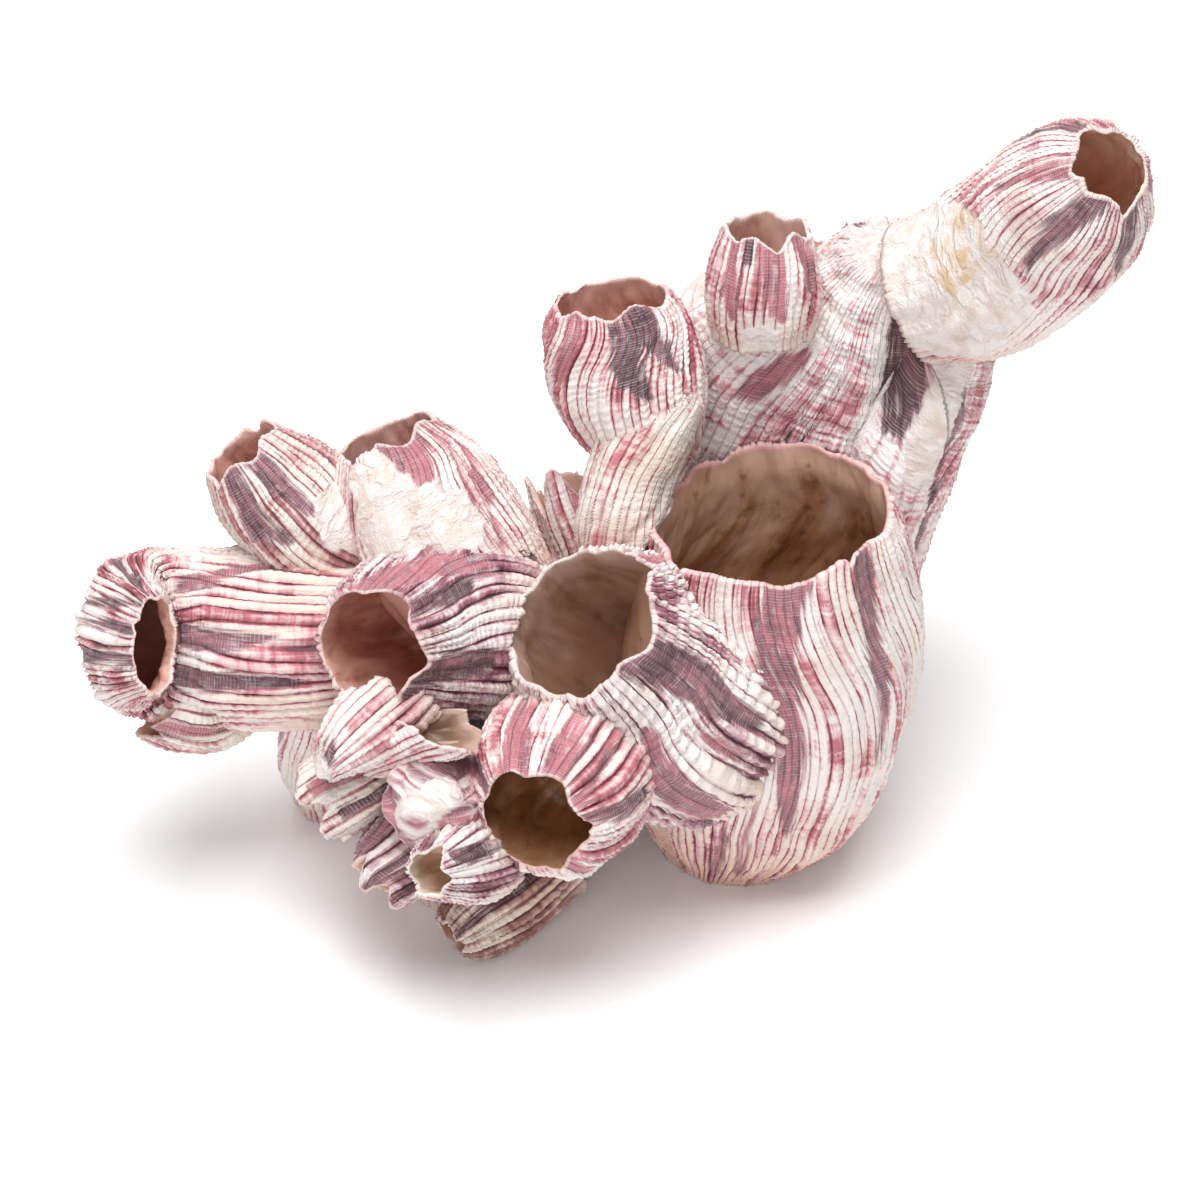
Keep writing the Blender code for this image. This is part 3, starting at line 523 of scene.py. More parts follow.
def stripeFacts(shell, turn, share, mix):
    # all that the ribs, bands and stain of a shell read at each point
    band, bandTone = bandFacts(shell, turn, share)
    ring = shell.widest * 0.9 * mix
    return dict(around=(turn / math.tau + 0.5) % 1, share=share, along=share * shell.length, band=band,
                bandTone=bandTone, flush=flushFacts(shell, turn, share),
                place=np.stack([np.cos(turn) * ring, np.sin(turn) * ring, share * shell.length], 1))


def growMesh(index):
    shell = grown[index]
    size = shell.facts["grain"]
    older = [other for other in grown[:index]
             if np.all(other.low < shell.high) and np.all(other.high > shell.low)]
    younger = [other for other in grown[index + 1:]
               if other.hollow and np.all(other.low < shell.high) and np.all(other.high > shell.low)]
    columns = max(72, int(math.tau * shell.widest / size))
    turns = np.arange(columns) / columns * math.tau + math.pi  # the loop's seam is at the back
    edge = shell.edge(turns)

    def outside(turn, travel):
        return shell.point(turn, shell.edge(turn) * (1 - travel), 0)

    def inside(turn, travel):
        top = shell.edge(turn)
        share = top * (1 - travel) + shell.floor * travel
        return shell.point(turn, share, shell.thickness(turn, share) * (1 + 1.6 * travel ** 6))

    freeOut = firstCovered(older, turns, outside, standing=shell.middle[0][2] < 0)
    rowsOut = max(16, int(shell.length / size))
    rows = []
    cols = np.ones(columns)

    def addRow(points, share, outer=1, depth=0, contact=0, closedEnd=0, ring=1):
        # one ring of points and what they know; ring is its width in the pattern
        rows.append([points] + [cols * part for part in (share, outer, depth, contact, closedEnd, ring)])

    ringShare = edge * (1 - freeOut)
    ring = outside(turns, freeOut)
    base = ring.mean(0) if any(other.hollow for other in older) else shell.middle[0]
    for k in range(capRows):  # the hidden base, from its middle out
        mix = (k + 1) / (capRows + 1)
        addRow(base + (ring - base) * mix, ringShare, contact=1, ring=mix)
    for k in range(rowsOut + 1):
        travel = freeOut * (1 - k / rowsOut)
        share = edge * (1 - travel)
        gap = (share - ringShare) * shell.length
        addRow(outside(turns, travel), share, contact=np.exp(-gap / seamWidth))
    last = rows[-1][0]
    if shell.hollow:
        freeIn = firstCovered(older, turns, inside)
        inner = inside(turns, cols * 0)
        lift = shell.at(shell.ahead, edge)
        for f in (0.33, 0.67):
            bulge = math.sin(math.pi * f) * shell.wall * 0.12
            addRow(last * (1 - f) + inner * f + lift * bulge, edge, outer=1 - f)
        rowsIn = max(12, int(shell.length * shell.hollow / size * 0.55))
        for k in range(rowsIn + 1):
            travel = freeIn * k / rowsIn
            share = edge * (1 - travel) + shell.floor * travel
            addRow(inside(turns, travel), share, outer=0, depth=travel)
        last, lastShare = rows[-1][0], rows[-1][1]
        hub = shell.at(shell.middle, np.array([shell.floor - 0.02]))[0]
        for k in range(capRows):
            mix = (k + 1) / (capRows + 1)
            addRow(last + (hub - last) * mix, lastShare, outer=0, depth=1, ring=1 - mix)
    else:
        dome = shell.ahead[-1] * shell.radius[-1] * 0.16
        hub = shell.middle[-1] + dome
        span = columns // 10
        even = np.mean([np.roll(last, k, 0) for k in range(-span, span + 1)], 0)
        for k in range(capRows):
            mix = (k + 1) / (capRows + 1)
            calm = min(1, mix * 4)
            brim = last * (1 - calm) + even * calm
            addRow(brim + (shell.middle[-1] - brim) * mix + dome * mix * (2 - mix),
                   edge * (1 - calm) + edge.mean() * calm, closedEnd=min(shell.facts["cap"], mix * 3),
                   ring=1 - mix)
    count = len(rows)
    points = np.concatenate([r[0] for r in rows] + [base[None], hub[None]])
    moved = tuckIn(points, older)

    def column(part, first, final):
        return np.concatenate([np.concatenate([r[part] for r in rows]), [first, final]])

    share = column(1, 0.0, 1.0)
    outer = column(2, 1.0, 0.0 if shell.hollow else 1.0)
    depth = column(3, 0.0, 1.0)
    contact = column(4, 1.0, 0.0)
    scar = column(5, 0.0, 0.0 if shell.hollow else 1.0)
    scarTone = scar * 0.15
    turn = np.concatenate([np.tile(turns, count), [0.0, 0.0]])
    rimNear = np.exp(-np.maximum((shell.edge(turn) - share) * shell.length, 0) / edgeWidth) * (1 - scar)

    # what stands in the hollow of a younger shell is coated with that shell's smooth lining
    lined = np.zeros(len(points))
    for other in younger:
        near = np.all((points > other.low) & (points < other.high), axis=1)
        if near.any():
            s, t, under = other.locate(points[near])
            inHollow = smooth(0.5, 1.0, under / other.thickness(t, s))
            inHollow = inHollow * smooth(other.floor - 0.1, other.floor, s) * (s < other.edge(t) + 0.01)
            lined[near] = np.maximum(lined[near], inHollow)
    hidden = np.arange(len(points)) < capRows * columns
    lined[hidden | moved & (outer > 0.5)] = 1
    lined[-2] = 1

    # the stripes follow the shell's own sides, or an older shell's where that one's run on over it
    stripeTurn = turn
    if shell.facts["straight"]:
        front = np.array((0.0, -1.0, 0.0))
        stripeTurn = turn - np.arctan2(shell.at(shell.across, share) @ front,
                                       shell.at(shell.down, share) @ front)
    stripes = stripeFacts(shell, stripeTurn, share, column(6, 0.0, 0.0))
    hostName, side, half = shell.facts["host"]
    for host in older:
        if host.name == hostName:
            hostShare, hostTurn, _ = host.locate(points)
            taken = sideGap(hostTurn, math.radians(side)) <= math.radians(half)
            others = stripeFacts(host, hostTurn, hostShare, 1.0 + 0 * share)
            others["around"] *= host.facts["ribs"] / shell.facts["ribs"]
            stripes = {key: np.where(taken if old.ndim == 1 else taken[:, None], others[key], old)
                       for key, old in stripes.items()}
            contact = np.where(taken, contact * 0.3, contact)
    for x, y, z, reach, tone in shell.facts["scars"]:
        patch = np.clip(1.5 - np.linalg.norm(points - np.array((x, y, z)), axis=1) / reach, 0, 1)
        scarTone = np.where(patch > scar, tone, scarTone)
        scar = np.maximum(scar, patch)

    # the rings joined to one closed skin
    mesh = bpy.data.meshes.new(shell.name + ".grown")
    grid = np.arange(count * columns).reshape(count, columns)
    low, high = grid[:-1], grid[1:]
    quads = np.stack([low, np.roll(low, -1, 1), np.roll(high, -1, 1), high], 2).reshape(-1, 4)
    firstHub, lastHub = count * columns, count * columns + 1
    under = np.stack([np.roll(grid[0], -1), grid[0], np.full(columns, firstHub)], 1)
    over = np.stack([grid[-1], np.roll(grid[-1], -1), np.full(columns, lastHub)], 1)
    faces = [quads, under, over]
    loops = np.concatenate([f.ravel() for f in faces])
    sizes = np.concatenate([np.full(len(f), f.shape[1]) for f in faces])
    mesh.vertices.add(len(points))
    mesh.vertices.foreach_set("co", (points * mm).ravel())
    mesh.loops.add(len(loops))
    mesh.loops.foreach_set("vertex_index", loops)
    mesh.polygons.add(len(sizes))
    mesh.polygons.foreach_set("loop_start", np.concatenate([[0], np.cumsum(sizes)[:-1]]))
    mesh.update(calc_edges=True)
    mesh.validate()
    facts = dict(stripes, outer=outer, depth=depth, contact=contact, rimNear=rimNear, lined=lined,
                 scar=scar, scarTone=scarTone, ahead=shell.at(shell.ahead, share))
    for key, values in facts.items():
        kind, field = ("FLOAT", "value") if values.ndim == 1 else ("FLOAT_VECTOR", "vector")
        layer = mesh.attributes.new(key, kind, "POINT")
        layer.data.foreach_set(field, values.astype(np.float32).ravel())
    return mesh


def addNode(tree, kind, inputs=(), out=0, **settings):
    # one node with its settings; inputs are values or other nodes' outputs, by place or by name
    node = tree.nodes.new(kind)
    for key, value in settings.items():
        setattr(node, key, value)
    for key, value in inputs.items() if isinstance(inputs, dict) else enumerate(inputs):
        if isinstance(value, bpy.types.NodeSocket):
            tree.links.new(value, node.inputs[key])
        else:
            node.inputs[key].default_value = value
    return node.outputs[out]


sculpt = {
    "Rib Count": 40.0,
    "Rib Height": 0.45,
    "Rib Drift": 2.5,  # how many ribs' width the ribs wander over the whole shell
    "Rib Waver": 1.3,
    "Growth Spacing": 1.0,
    "Growth Height": 0.22,
    "Bead Height": 0.5,
    "Terrace Height": 0.0,
    "Terrace Spacing": 2.5,
    "Band Depth": 0.3,
    "Crust Height": 0.5,
    "Tooth Height": 0.16,
    "Seam Crust": 0.6,
    "Lumps": 1.3,
    "Folds": 2.5,  # of the lining
    "Seed": 0.0,
}

# each field is a start value and steps that work on it in turn; a name stands for a socket, an
# attribute, a noise or an earlier field
smoothStep = {"interpolation_type": "SMOOTHSTEP"}
oneRandom = ("ShaderNodeTexWhiteNoise", "W", {}, {"noise_dimensions": "1D"})
ribFields = [
    # where each rib runs, its height, and the ribs that split in two towards the mouth
    ("drift", "drifting", ("MULTIPLY", "Rib Drift")),
    ("wander", "wavering", ("MULTIPLY_ADD", "Rib Waver", "drift")),
    ("ribPlace", "around", ("MULTIPLY_ADD", "Rib Count", "wander")),
    ("ribSine", "ribPlace", ("MULTIPLY", math.pi), ("SINE",)),
    ("profile", "ribSine", ("ABSOLUTE",), ("POWER", 0.7)),
    ("number", "ribPlace", ("FLOOR",), ("FLOORED_MODULO", "Rib Count")),
    ("ribTone", "number", ("ADD", "Seed"), oneRandom),
    ("splits", "number", ("ADD", 0.37), oneRandom, ("GREATER_THAN", 0.45)),
    ("splitFrom", "share", ("ShaderNodeMapRange", "Value", {"From Min": 0.25, "From Max": 0.6}, smoothStep)),
    ("splitDepth", "splits", ("MULTIPLY", "splitFrom")),
    ("creased", "ribPlace", ("FRACT",), ("SUBTRACT", 0.5), ("ABSOLUTE",),
     ("ShaderNodeMapRange", "Value", {"From Min": 0.0, "From Max": 0.16, "To Min": 0.7, "To Max": 0.0},
      smoothStep), ("MULTIPLY", "splitDepth")),
    ("kept", 1.0, ("SUBTRACT", "creased")),
    ("rib", "profile", ("MULTIPLY", "kept")),
    ("unevenRib", "ribTone", ("MULTIPLY_ADD", 0.8, 0.6)),
    ("ribFade", "lump", ("MULTIPLY_ADD", 2.5, 0.95)),
    ("calmRim", "rimNear", ("MULTIPLY_ADD", -0.6, 1.0)),
    ("ribHeight", "Rib Height", ("MULTIPLY", "unevenRib"), ("MULTIPLY", "ribFade"), ("MULTIPLY", "calmRim")),
    ("ribAbove", "rib", ("SUBTRACT", 0.4)),
    ("ribRelief", "ribHeight", ("MULTIPLY", "ribAbove")),
    # growth lines, which sag over each rib, knobs on the ribs, and the coarser scalloped terraces
    ("ribSag", "rib", ("MULTIPLY", 0.35)),
    ("sag", "sagging", ("MULTIPLY_ADD", 1.6, "ribSag")),
    ("growthPlace", "along", ("DIVIDE", "Growth Spacing"), ("ADD", "sag")),
    ("growthUneven", "growthPlace", ("FLOOR",), oneRandom),
    ("growthStep", "growthPlace", ("FRACT",), ("MULTIPLY", math.pi), ("SINE",), ("SUBTRACT", 0.6)),
    ("strength", "rib", ("MULTIPLY_ADD", 0.8, 0.3)),
    ("growthHeight", "growthUneven", ("MULTIPLY_ADD", 1.2, 0.4), ("MULTIPLY", "Growth Height"),
     ("MULTIPLY", "strength")),
    ("growthRelief", "growthStep", ("MULTIPLY", "growthHeight")),
    ("beadHeight", "Bead Height", ("MULTIPLY", "strength")),
    ("knobRelief", "bead", ("MULTIPLY_ADD", "beadHeight", "ribRelief"), ("ADD", "growthRelief")),
    ("terraceStep", "along", ("DIVIDE", "Terrace Spacing"), ("ADD", "sag"), ("FRACT",), ("POWER", 1.6),
     ("MULTIPLY", math.pi), ("SINE",), ("SUBTRACT", 0.4), ("MULTIPLY", "strength")),
    ("wallRelief", "terraceStep", ("MULTIPLY_ADD", "Terrace Height", "knobRelief")),
    # sunken bands, crusted scars and the cement along a seam
    ("bandMask", "frayed", ("MULTIPLY_ADD", 0.5, "band"),
     ("ShaderNodeMapRange", "Value", {"From Min": 0.35, "From Max": 0.65}, smoothStep)),
    ("bandRelief", "wallRelief", ("MULTIPLY", 0.35), ("SUBTRACT", "Band Depth")),
    ("scarMask", "patch", ("MULTIPLY_ADD", 0.9, "scar"),
     ("ShaderNodeMapRange", "Value", {"From Min": 0.45, "From Max": 0.56}, smoothStep)),
    ("crust", "wrinkle", ("ABSOLUTE",), ("MULTIPLY_ADD", -1.1, "crusting"), ("ADD", 0.35),
     ("MULTIPLY", "Crust Height")),
    ("sunk", "bandMask", ("ShaderNodeMix", "Factor", {"A": "wallRelief", "B": "bandRelief"}, {})),
    ("crusted", "scarMask", ("ShaderNodeMix", "Factor", {"A": "sunk", "B": "crust"}, {})),
    ("unlined", 1.0, ("SUBTRACT", "lined")),
    ("bare", "outer", ("MULTIPLY", "unlined")),
    ("skinRelief", "seam", ("ADD", 0.6), ("MULTIPLY", "Seam Crust"), ("MULTIPLY_ADD", "contact", "crusted"),
     ("MULTIPLY", "bare")),
    # lumps move the outside and the lining together, and the lining has soft folds of its own
    ("facing", "outer", ("MULTIPLY_ADD", 2.0, -1.0)),
    ("lumped", "lump", ("MULTIPLY", "Lumps"), ("MULTIPLY_ADD", "facing", "skinRelief")),
    ("innerSide", 1.0, ("SUBTRACT", "outer")),
    ("foldHere", 1.0, ("SUBTRACT", "rimNear"), ("MULTIPLY", "innerSide")),
    ("height", "fold", ("ABSOLUTE",), ("MULTIPLY", "Folds"), ("MULTIPLY_ADD", "foldHere", "lumped"),
     ("MULTIPLY", mm)),
    # the mouth's edge rises at each rib
    ("toothHere", "rimNear", ("MULTIPLY", mm)),
    ("toothHeight", "tooth", ("MULTIPLY_ADD", 1.6, "rib"), ("SUBTRACT", 0.8), ("MULTIPLY", "Tooth Height"),
     ("MULTIPLY", "toothHere")),
]


def buildSculptTree():
    tree = bpy.data.node_groups.new("ribs and growth lines", "GeometryNodeTree")
    face = tree.interface
    face.new_socket("Geometry", in_out="OUTPUT", socket_type="NodeSocketGeometry")
    face.new_socket("Geometry", in_out="INPUT", socket_type="NodeSocketGeometry")
    for name, value in sculpt.items():
        face.new_socket(name, in_out="INPUT", socket_type="NodeSocketFloat").default_value = value
    face.new_socket("Material", in_out="INPUT", socket_type="NodeSocketMaterial")
    give = tree.nodes.new("NodeGroupInput").outputs
    field = {name: give[name] for name in sculpt}
    for key in ("around", "share", "along", "outer", "contact", "rimNear", "lined", "band", "scar", "place",
                "ahead"):
        kind = "FLOAT_VECTOR" if key in ("place", "ahead") else "FLOAT"
        field[key] = addNode(tree, "GeometryNodeInputNamedAttribute", {"Name": key}, "Attribute",
                             data_type=kind)
    shift = addNode(tree, "ShaderNodeCombineXYZ", {"X": give["Seed"], "Y": 3.1, "Z": 7.7})
    spot = addNode(tree, "ShaderNodeVectorMath", [field["place"], shift], operation="ADD")

    # noises about zero: stretch along the shell, scale per mm, detail
    for key, stretch, scale, detail in [
            ("drifting", 0.3, 0.09, 1), ("wavering", 0.12, 0.45, 2), ("sagging", 1, 0.25, 2),
            ("bead", 1, 0.85, 2), ("frayed", 1, 0.6, 2), ("patch", 1, 0.35, 3), ("crusting", 1, 0.3, 4),
            ("wrinkle", 2.4, 0.5, 2), ("lump", 1, 0.1, 2), ("fold", 0.5, 0.16, 2), ("seam", 1, 0.5, 2),
            ("tooth", 1, 0.3, 3)]:
        stretched = addNode(tree, "ShaderNodeVectorMath", [spot, (1, 1, stretch)], operation="MULTIPLY")
        made = addNode(tree, "ShaderNodeTexNoise", {"Vector": stretched, "Scale": scale, "Detail": detail})
        field[key] = addNode(tree, "ShaderNodeMath", [made, 0.5], operation="SUBTRACT")

    for name, start, *steps in ribFields:
        now = field.get(start, start)
        for step, *parts in steps:
            if step.startswith("ShaderNode"):
                socket, inputs, settings = parts
                inputs = {socket: now, **{key: field.get(part, part) for key, part in inputs.items()}}
                now = addNode(tree, step, inputs, **settings)
            else:
                inputs = [now, *[field.get(part, part) for part in parts]]
                now = addNode(tree, "ShaderNodeMath", inputs, operation=step)
        field[name] = now

    normal = addNode(tree, "GeometryNodeInputNormal")
    outward, upward = [addNode(tree, "ShaderNodeVectorMath", {0: way, "Scale": field[key]}, operation="SCALE")
                       for way, key in ((normal, "height"), (field["ahead"], "toothHeight"))]
    offset = addNode(tree, "ShaderNodeVectorMath", [outward, upward], operation="ADD")

    # the fields that the material reads are stored before the points move
    made = give["Geometry"]
    for key in ("rib", "ribSine", "ribTone", "growthPlace", "bandMask", "scarMask"):
        inputs = {"Geometry": made, "Name": key, "Value": field[key]}
        made = addNode(tree, "GeometryNodeStoreNamedAttribute", inputs, data_type="FLOAT", domain="POINT")
    made = addNode(tree, "GeometryNodeSetPosition", {"Geometry": made, "Offset": offset})
    made = addNode(tree, "GeometryNodeRealizeInstances", {"Geometry": made})
    made = addNode(tree, "GeometryNodeSetMaterial", {"Geometry": made, "Material": give["Material"]})
    result = tree.nodes.new("NodeGroupOutput")
    tree.links.new(made, result.inputs["Geometry"])
    return tree


def linear(code):
    parts = [int(code[i:i + 2], 16) / 255 for i in (1, 3, 5)]
    return tuple(p / 12.92 if p <= 0.04045 else ((p + 0.055) / 1.055) ** 2.4 for p in parts) + (1.0,)


calcite = dict(roughness=0.56, bandRoughness=0.42, scarWhite="#ece5e1", scarCream="#e2d3c8", ochre="#d9b88f",
               cement="#e2d5cc", edge="#d2949c", edgeWhite="#eee2de", lineColour="#e6d2d2", peach="#e6b99c",
               crease="#c7a596", liningRoughness=0.4)


def grownCalcite(name, look, inside):
    # barnacle calcite, laid down in layers: chalky white ribs, rose and plum stain between them cut into
    # dashes by the growth lines, with a dark line in each groove that is partly stain and partly painted
    # shade, smooth violet bands with fine cross lines, white scars with painted shade in their creases, and a
    # waxy tan lining that browns towards its floor, partly its own colour and partly painted shade
    material = bpy.data.materials.new(name)
    material.use_nodes = True
    tree = material.node_tree
    surface = tree.nodes["Principled BSDF"]
    get = {key: addNode(tree, "ShaderNodeAttribute", out="Fac", attribute_name=key)
           for key in ("rib", "ribSine", "ribTone", "growthPlace", "share", "along", "outer", "depth",
                       "contact", "rimNear", "lined", "band", "bandTone", "bandMask", "scarMask", "scarTone",
                       "flush")}
    place = addNode(tree, "ShaderNodeAttribute", out="Vector", attribute_name="place")
    lift = addNode(tree, "ShaderNodeCombineXYZ", {"Z": get["growthPlace"]})
    # noises about zero: stretch along the shell, scale per mm, detail; the lining's clouds are 3 to 10 mm
    noise = {}
    for key, (across, stretch, scale, detail) in {
            "wide": (1, 1, 0.12, 2), "streak": (1, 0.12, 0.5, 3), "fibre": (1, 0.07, 1.8, 3),
            "grit": (1, 1, 4.5, 3), "patch": (1, 1, 0.45, 4), "mottle": (1, 0.5, 1.1, 3),
            "cloud": (1, 0.6, 0.16, 4), "wrinkle": (1, 1.6, 0.22, 4), "lines": (0.1, 0, 1.7, 3)}.items():
        spot = addNode(tree, "ShaderNodeMapping", {"Vector": place, "Scale": (across, across, stretch)})
        if key == "lines":  # runs along the growth lines, about 0.6, 0.3 and 0.15 mm apart
            spot = addNode(tree, "ShaderNodeVectorMath", [spot, lift], operation="ADD")
        made = addNode(tree, "ShaderNodeTexNoise", {"Vector": spot, "Scale": scale, "Detail": detail})
        noise[key] = addNode(tree, "ShaderNodeMath", [made, 0.5], operation="SUBTRACT")

    def mixed(start, weights):
        # a start value plus each value times its weight
        for value, weight in weights:
            start = addNode(tree, "ShaderNodeMath", [value, weight, start], operation="MULTIPLY_ADD")
        return start

    def painted(under, colour, value, low, high, most=1.0):
        # a colour laid over another where a value rises from low to high
        under, colour = [linear(paint) if isinstance(paint, str) else paint for paint in (under, colour)]
        share = addNode(tree, "ShaderNodeMapRange", {"Value": value, "From Min": low, "From Max": high,
                                                     "To Max": most}, interpolation_type="SMOOTHSTEP")
        return addNode(tree, "ShaderNodeMix", {0: share, 6: under, 7: colour}, 2, data_type="RGBA")

    # chalk on the ribs, cream in places and peach towards the base
    wall = painted(look["white"], look["cream"], noise["wide"], -0.1, 0.16)
    wall = painted(wall, calcite["peach"], get["share"], 0.45, 0.05, look["peach"])

    # the stain is strongest between the ribs, streaks along the shell, and breaks at the growth lines; the
    # dark line in each groove is partly that stain and partly painted shade
    pinkRib = addNode(tree, "ShaderNodeMapRange", {"Value": mixed(get["ribTone"], [(noise["wide"], 1.3)]),
                                                   "From Min": 0.55, "From Max": 0.85})
    # a dark line along each groove: partly stain, and partly painted shade of a groove narrower than the mesh
    # can shade
    wave = addNode(tree, "ShaderNodeMath", [get["ribSine"]], operation="ABSOLUTE")
    groove = addNode(tree, "ShaderNodeMapRange", {"Value": wave, "From Min": 0.34, "From Max": 0.04},
                     interpolation_type="SMOOTHSTEP")
    clear = mixed(1.0, [(get["scarMask"], -1.0)])
    groove = addNode(tree, "ShaderNodeMath", [groove, clear], operation="MULTIPLY")
    grooveStainAndShade = mixed(0.3, [(noise["streak"], 2.2), (noise["patch"], 1.0)])
    grooveStainAndShade = addNode(tree, "ShaderNodeMath", [grooveStainAndShade, groove], operation="MULTIPLY")
    pinkness = mixed(look["pinkness"] + 0.48 * look["ribbing"], [
        (get["rib"], -0.57 * look["ribbing"]), (grooveStainAndShade, look["groove"]), (noise["streak"], 0.7),
        (noise["fibre"], 1.0), (noise["mottle"], 0.4), (noise["lines"], look["dashes"]), (noise["wide"], 0.7),
        (pinkRib, 0.38 * look["ribbing"]), (get["flush"], 1.0)])
    for shade, low, high in (("pale", 0.06, 0.27), ("rose", 0.25, 0.5), ("deep", 0.5, 0.74),
                             ("plum", 0.76, 1.02)):
        wall = painted(wall, look[shade], pinkness, low, high)

    # bands, frayed along the ribs, with pale streaks and uneven whitish cross lines about 0.4 mm apart
    bandDark = mixed(get["bandTone"], [(noise["streak"], 1.3), (noise["fibre"], 1.0), (noise["mottle"], 0.9),
                                       (noise["wide"], 0.8)])
    bandColour = painted(look["bandPink"], look["bandViolet"], bandDark, 0.1, 0.65)
    bandColour = painted(bandColour, look["bandDark"], bandDark, 0.6, 1.1)
    angle = mixed(0.0, [(noise["wide"], 7.0), (get["along"], math.tau / 0.4)])
    cross = addNode(tree, "ShaderNodeMath", [angle], operation="SINE")
    bandColour = painted(bandColour, calcite["lineColour"], mixed(cross, [(noise["lines"], 4.0)]),
                         0.1, 1.6, 0.3)
    bandColour = painted(bandColour, calcite["lineColour"],
                         mixed(0.0, [(noise["fibre"], 1.0), (noise["patch"], 0.7)]), 0.08, 0.24, 0.4)
    bandHere = mixed(get["band"], [(noise["fibre"], 1.1), (noise["streak"], 0.7), (noise["lines"], 0.1)])
    bandHere = addNode(tree, "ShaderNodeMapRange", {"Value": bandHere, "From Min": 0.36, "From Max": 0.66},
                       interpolation_type="SMOOTHSTEP")
    wall = addNode(tree, "ShaderNodeMix", {0: bandHere, 6: wall, 7: bandColour}, 2, data_type="RGBA")

    # white scars, some stained ochre, with painted shade in the creases of their wrinkles, the cement at a
    # seam, and the pink edge with its white lip
    scarColour = painted(calcite["scarWhite"], calcite["scarCream"], noise["patch"], -0.05, 0.2)
    ochre = mixed(get["scarTone"], [(noise["patch"], 2.0)])
    scarColour = painted(scarColour, calcite["ochre"], ochre, 0.45, 1.3)
    # painted shade along the creases of the scars' wrinkles, which also sink a little in the bump
    crease = addNode(tree, "ShaderNodeMath", [noise["wrinkle"]], operation="ABSOLUTE")
    crease = addNode(tree, "ShaderNodeMapRange", {"Value": crease, "From Min": 0.09, "From Max": 0.0},
                     interpolation_type="SMOOTHSTEP")
    crease = addNode(tree, "ShaderNodeMath", [crease, get["scarMask"]], operation="MULTIPLY")
    scarColour = painted(scarColour, calcite["crease"], crease, 0.0, 1.0, 0.25)
    wall = addNode(tree, "ShaderNodeMix", {0: get["scarMask"], 6: wall, 7: scarColour}, 2, data_type="RGBA")
    wall = painted(wall, calcite["cement"], get["contact"], 0.0, 1.0, 0.6)
    wall = painted(wall, calcite["edge"], get["rimNear"], 0.5, 0.95, 0.25)
    wall = painted(wall, calcite["edgeWhite"], mixed(get["rimNear"], [(noise["patch"], 0.6)]),
                   0.88, 1.05, 0.7)

    # the lining, whitish at the mouth's lip and brown at the floor, in soft clouds with paler folds; the
    # darkening with depth is partly its own brown and partly painted shade of the hollow
    cloud = mixed(get["depth"], [(noise["cloud"], 2.0)])
    inner = painted(inside["near"], inside["mid"], cloud, 0.05, 0.45)
    inner = painted(inner, inside["deep"], cloud, 0.45, 0.95)
    inner = painted(inner, inside["near"], mixed(0.0, [(noise["wide"], 1.0), (noise["streak"], 0.6)]),
                    0.06, 0.25, 0.6)
    inner = painted(inner, inside["stain"], mixed(0.0, [(noise["patch"], 0.6), (noise["cloud"], 0.7)]),
                    0.04, 0.22, 0.6)
    inner = painted(inner, inside["lip"], mixed(get["rimNear"], [(noise["mottle"], 0.4)]), 0.3, 0.9, 0.7)
    innerMask = addNode(tree, "ShaderNodeMath", [1.0, get["outer"]], operation="SUBTRACT")
    innerMask = addNode(tree, "ShaderNodeMath", [innerMask, get["lined"]], operation="MAXIMUM")
    colour = addNode(tree, "ShaderNodeMix", {0: innerMask, 6: wall, 7: inner}, 2, data_type="RGBA")
    tree.links.new(colour, surface.inputs["Base Color"])

    rough = addNode(tree, "ShaderNodeMapRange", {"Value": get["bandMask"], "To Min": calcite["roughness"],
                                                 "To Max": calcite["bandRoughness"]})
    rough = addNode(tree, "ShaderNodeMix", {0: innerMask, 2: rough, 3: calcite["liningRoughness"]})
    tree.links.new(rough, surface.inputs["Roughness"])
    surface.inputs["IOR"].default_value = 1.5

    # fine relief: growth lines, fainter on the ribs, then fibres and chalky grit, almost none on the lining
    lineDepth = mixed(0.7, [(get["rib"], -0.45)])
    for part in (clear, noise["lines"]):
        lineDepth = addNode(tree, "ShaderNodeMath", [lineDepth, part], operation="MULTIPLY")
    crossRelief = addNode(tree, "ShaderNodeMath", [cross, get["bandMask"]], operation="MULTIPLY")
    relief = mixed(0.0, [(lineDepth, 1.0), (noise["fibre"], 0.4), (noise["grit"], 0.3), (groove, -0.3),
                         (crossRelief, 0.03), (crease, -0.25)])
    fading = mixed(1.0, [(innerMask, -0.85)])
    relief = addNode(tree, "ShaderNodeMath", [relief, fading], operation="MULTIPLY")
    bump = addNode(tree, "ShaderNodeBump", {"Height": relief, "Strength": 1.0, "Distance": 0.5 * mm})
    tree.links.new(bump, surface.inputs["Normal"])
    return material


sculptTree = buildSculptTree()
sculptSockets = {item.name: item.identifier for item in sculptTree.interface.items_tree
                 if item.in_out == "INPUT"}


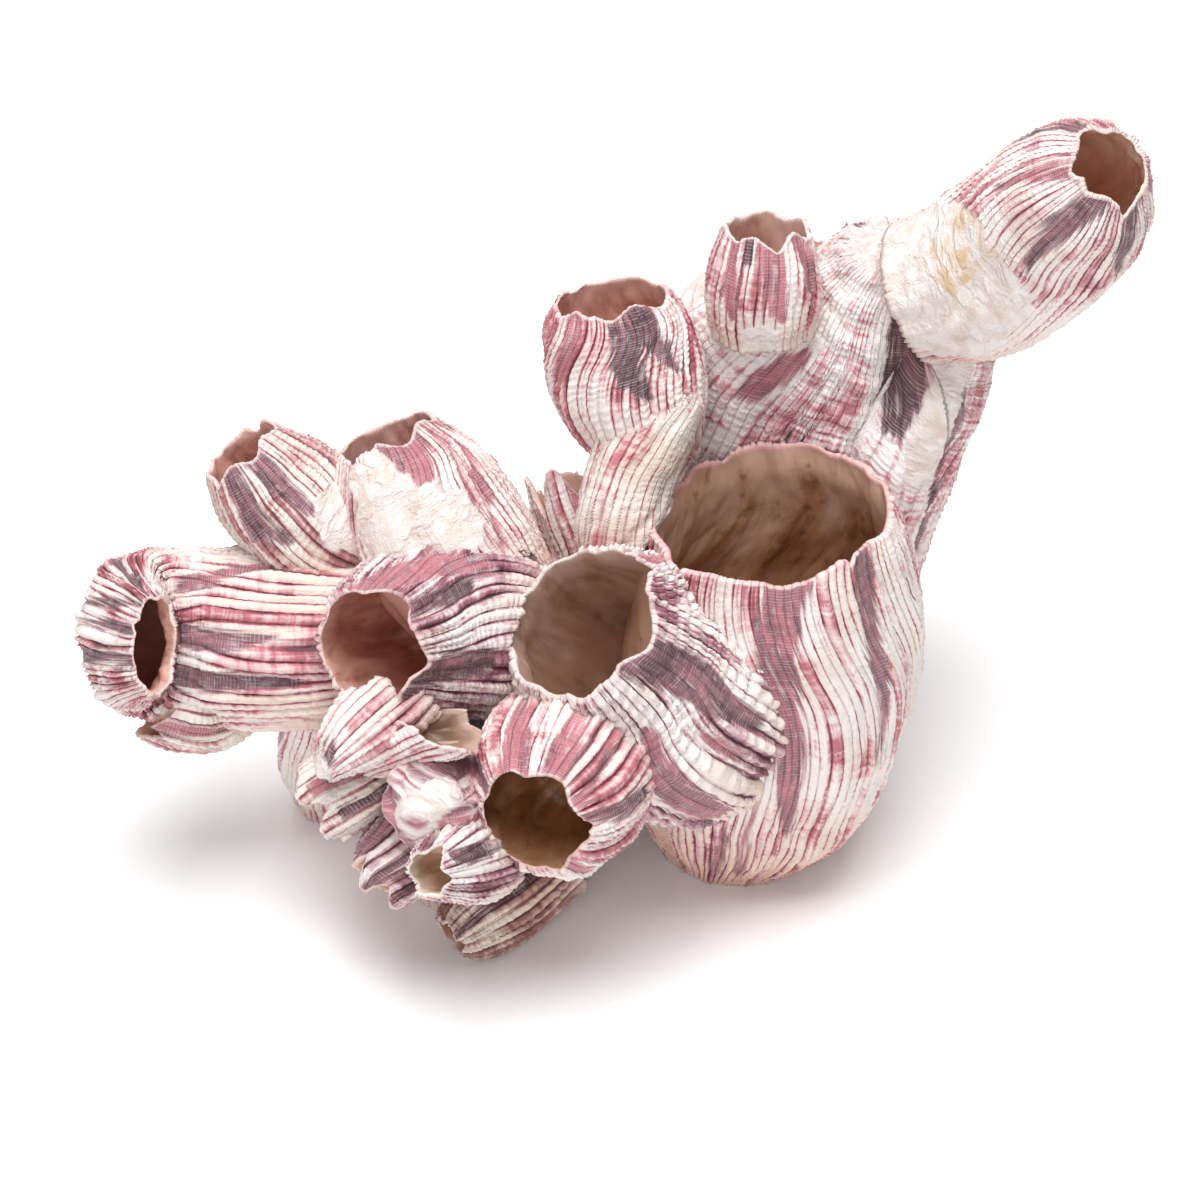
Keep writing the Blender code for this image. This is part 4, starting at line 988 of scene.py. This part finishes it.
def growPiece(index):
    shell = grown[index]
    facts = shell.facts
    mesh = growMesh(index)
    plainName = shell.name.replace("_shell", "")
    name = plainName + "_barnacle"
    piece = bpy.data.objects.new(name, mesh)
    bpy.context.scene.collection.objects.link(piece)
    material = grownCalcite(plainName + " grown calcite", facts["look"], facts["lining"])
    modifier = piece.modifiers.new("ribs and growth lines", "NODES")
    modifier.node_group = sculptTree
    seedOf = list(shells).index(facts["host"][0]) if facts["host"][0] else index
    settings = {"Rib Count": float(facts["ribs"]), "Rib Height": facts["relief"], "Rib Drift": facts["drift"],
                "Growth Height": facts["growth"], "Bead Height": facts["bead"],
                "Terrace Height": facts["terraces"][0], "Terrace Spacing": facts["terraces"][1],
                "Seed": 11.0 * seedOf + 5.0, "Material": material}
    for key, value in settings.items():
        modifier[sculptSockets[key]] = value
    graph = bpy.context.evaluated_depsgraph_get()
    final = bpy.data.meshes.new_from_object(piece.evaluated_get(graph))
    piece.modifiers.clear()
    piece.data = final
    bpy.data.meshes.remove(mesh)
    final.name = name
    spots = np.empty(len(final.vertices) * 3, np.float32)
    final.vertices.foreach_get("co", spots)
    spots[2::3] = np.maximum(spots[2::3], 0)  # nothing under the floor
    final.vertices.foreach_set("co", spots)
    final.shade_smooth()
    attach(piece, "root")
    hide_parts(shell.name)
    triangles = sum(len(p.vertices) - 2 for p in final.polygons)
    print(name, triangles, "triangles")
    return triangles


total = 0
for index in range(len(grown)):
    total += growPiece(index)
print("shells grown:", total, "triangles")

# the floor's colour, and each light's power in watts, size, place and aim in metres
studio = dict(floor="#fafafa", world=0.3,
              key=(9.3, 0.6, (-0.03, -0.08, 0.9), (-0.02, 0.01, 0.04)),
              fill=(3.1, 0.8, (-0.25, -0.95, 0.45), (-0.02, 0.0, 0.05)),
              back=(1.6, 0.6, (-0.3, 0.6, 0.7), (-0.02, 0.0, 0.04)))

floorMesh = bpy.data.meshes.new("studio_floor")
floorMesh.from_pydata([(-6, -6, 0), (6, -6, 0), (6, 6, 0), (-6, 6, 0)], [], [(0, 1, 2, 3)])
floorPiece = bpy.data.objects.new("studio_floor", floorMesh)
bpy.context.scene.collection.objects.link(floorPiece)
paper = bpy.data.materials.new("matt backdrop paper")
paper.use_nodes = True
paper.node_tree.nodes["Principled BSDF"].inputs["Base Color"].default_value = linear(studio["floor"])
paper.node_tree.nodes["Principled BSDF"].inputs["Roughness"].default_value = 0.9
floorMesh.materials.append(paper)

world = bpy.data.worlds.new("soft room")
bpy.context.scene.world = world
world.use_nodes = True
world.node_tree.nodes["Background"].inputs["Color"].default_value = (1, 1, 1, 1)
world.node_tree.nodes["Background"].inputs["Strength"].default_value = studio["world"]

for name in ("key", "fill", "back"):
    power, size, place, aim = studio[name]
    light = bpy.data.lights.new(name, "AREA")
    light.energy = power
    light.size = size
    lamp = bpy.data.objects.new(name, light)
    lamp.location = place
    lamp.rotation_euler = (Vector(aim) - Vector(place)).to_track_quat("-Z", "Y").to_euler()
    bpy.context.scene.collection.objects.link(lamp)

cameraData = bpy.data.cameras.new("camera")
cameraData.lens = 85
cameraData.sensor_width = 36
camera = bpy.data.objects.new("camera", cameraData)
camera.location = (-0.01775, -0.296, 0.2741)
camera.rotation_euler = (math.radians(52), 0, 0)
bpy.context.scene.collection.objects.link(camera)
bpy.context.scene.camera = camera
bpy.context.scene.view_settings.view_transform = "Standard"
print("studio set")
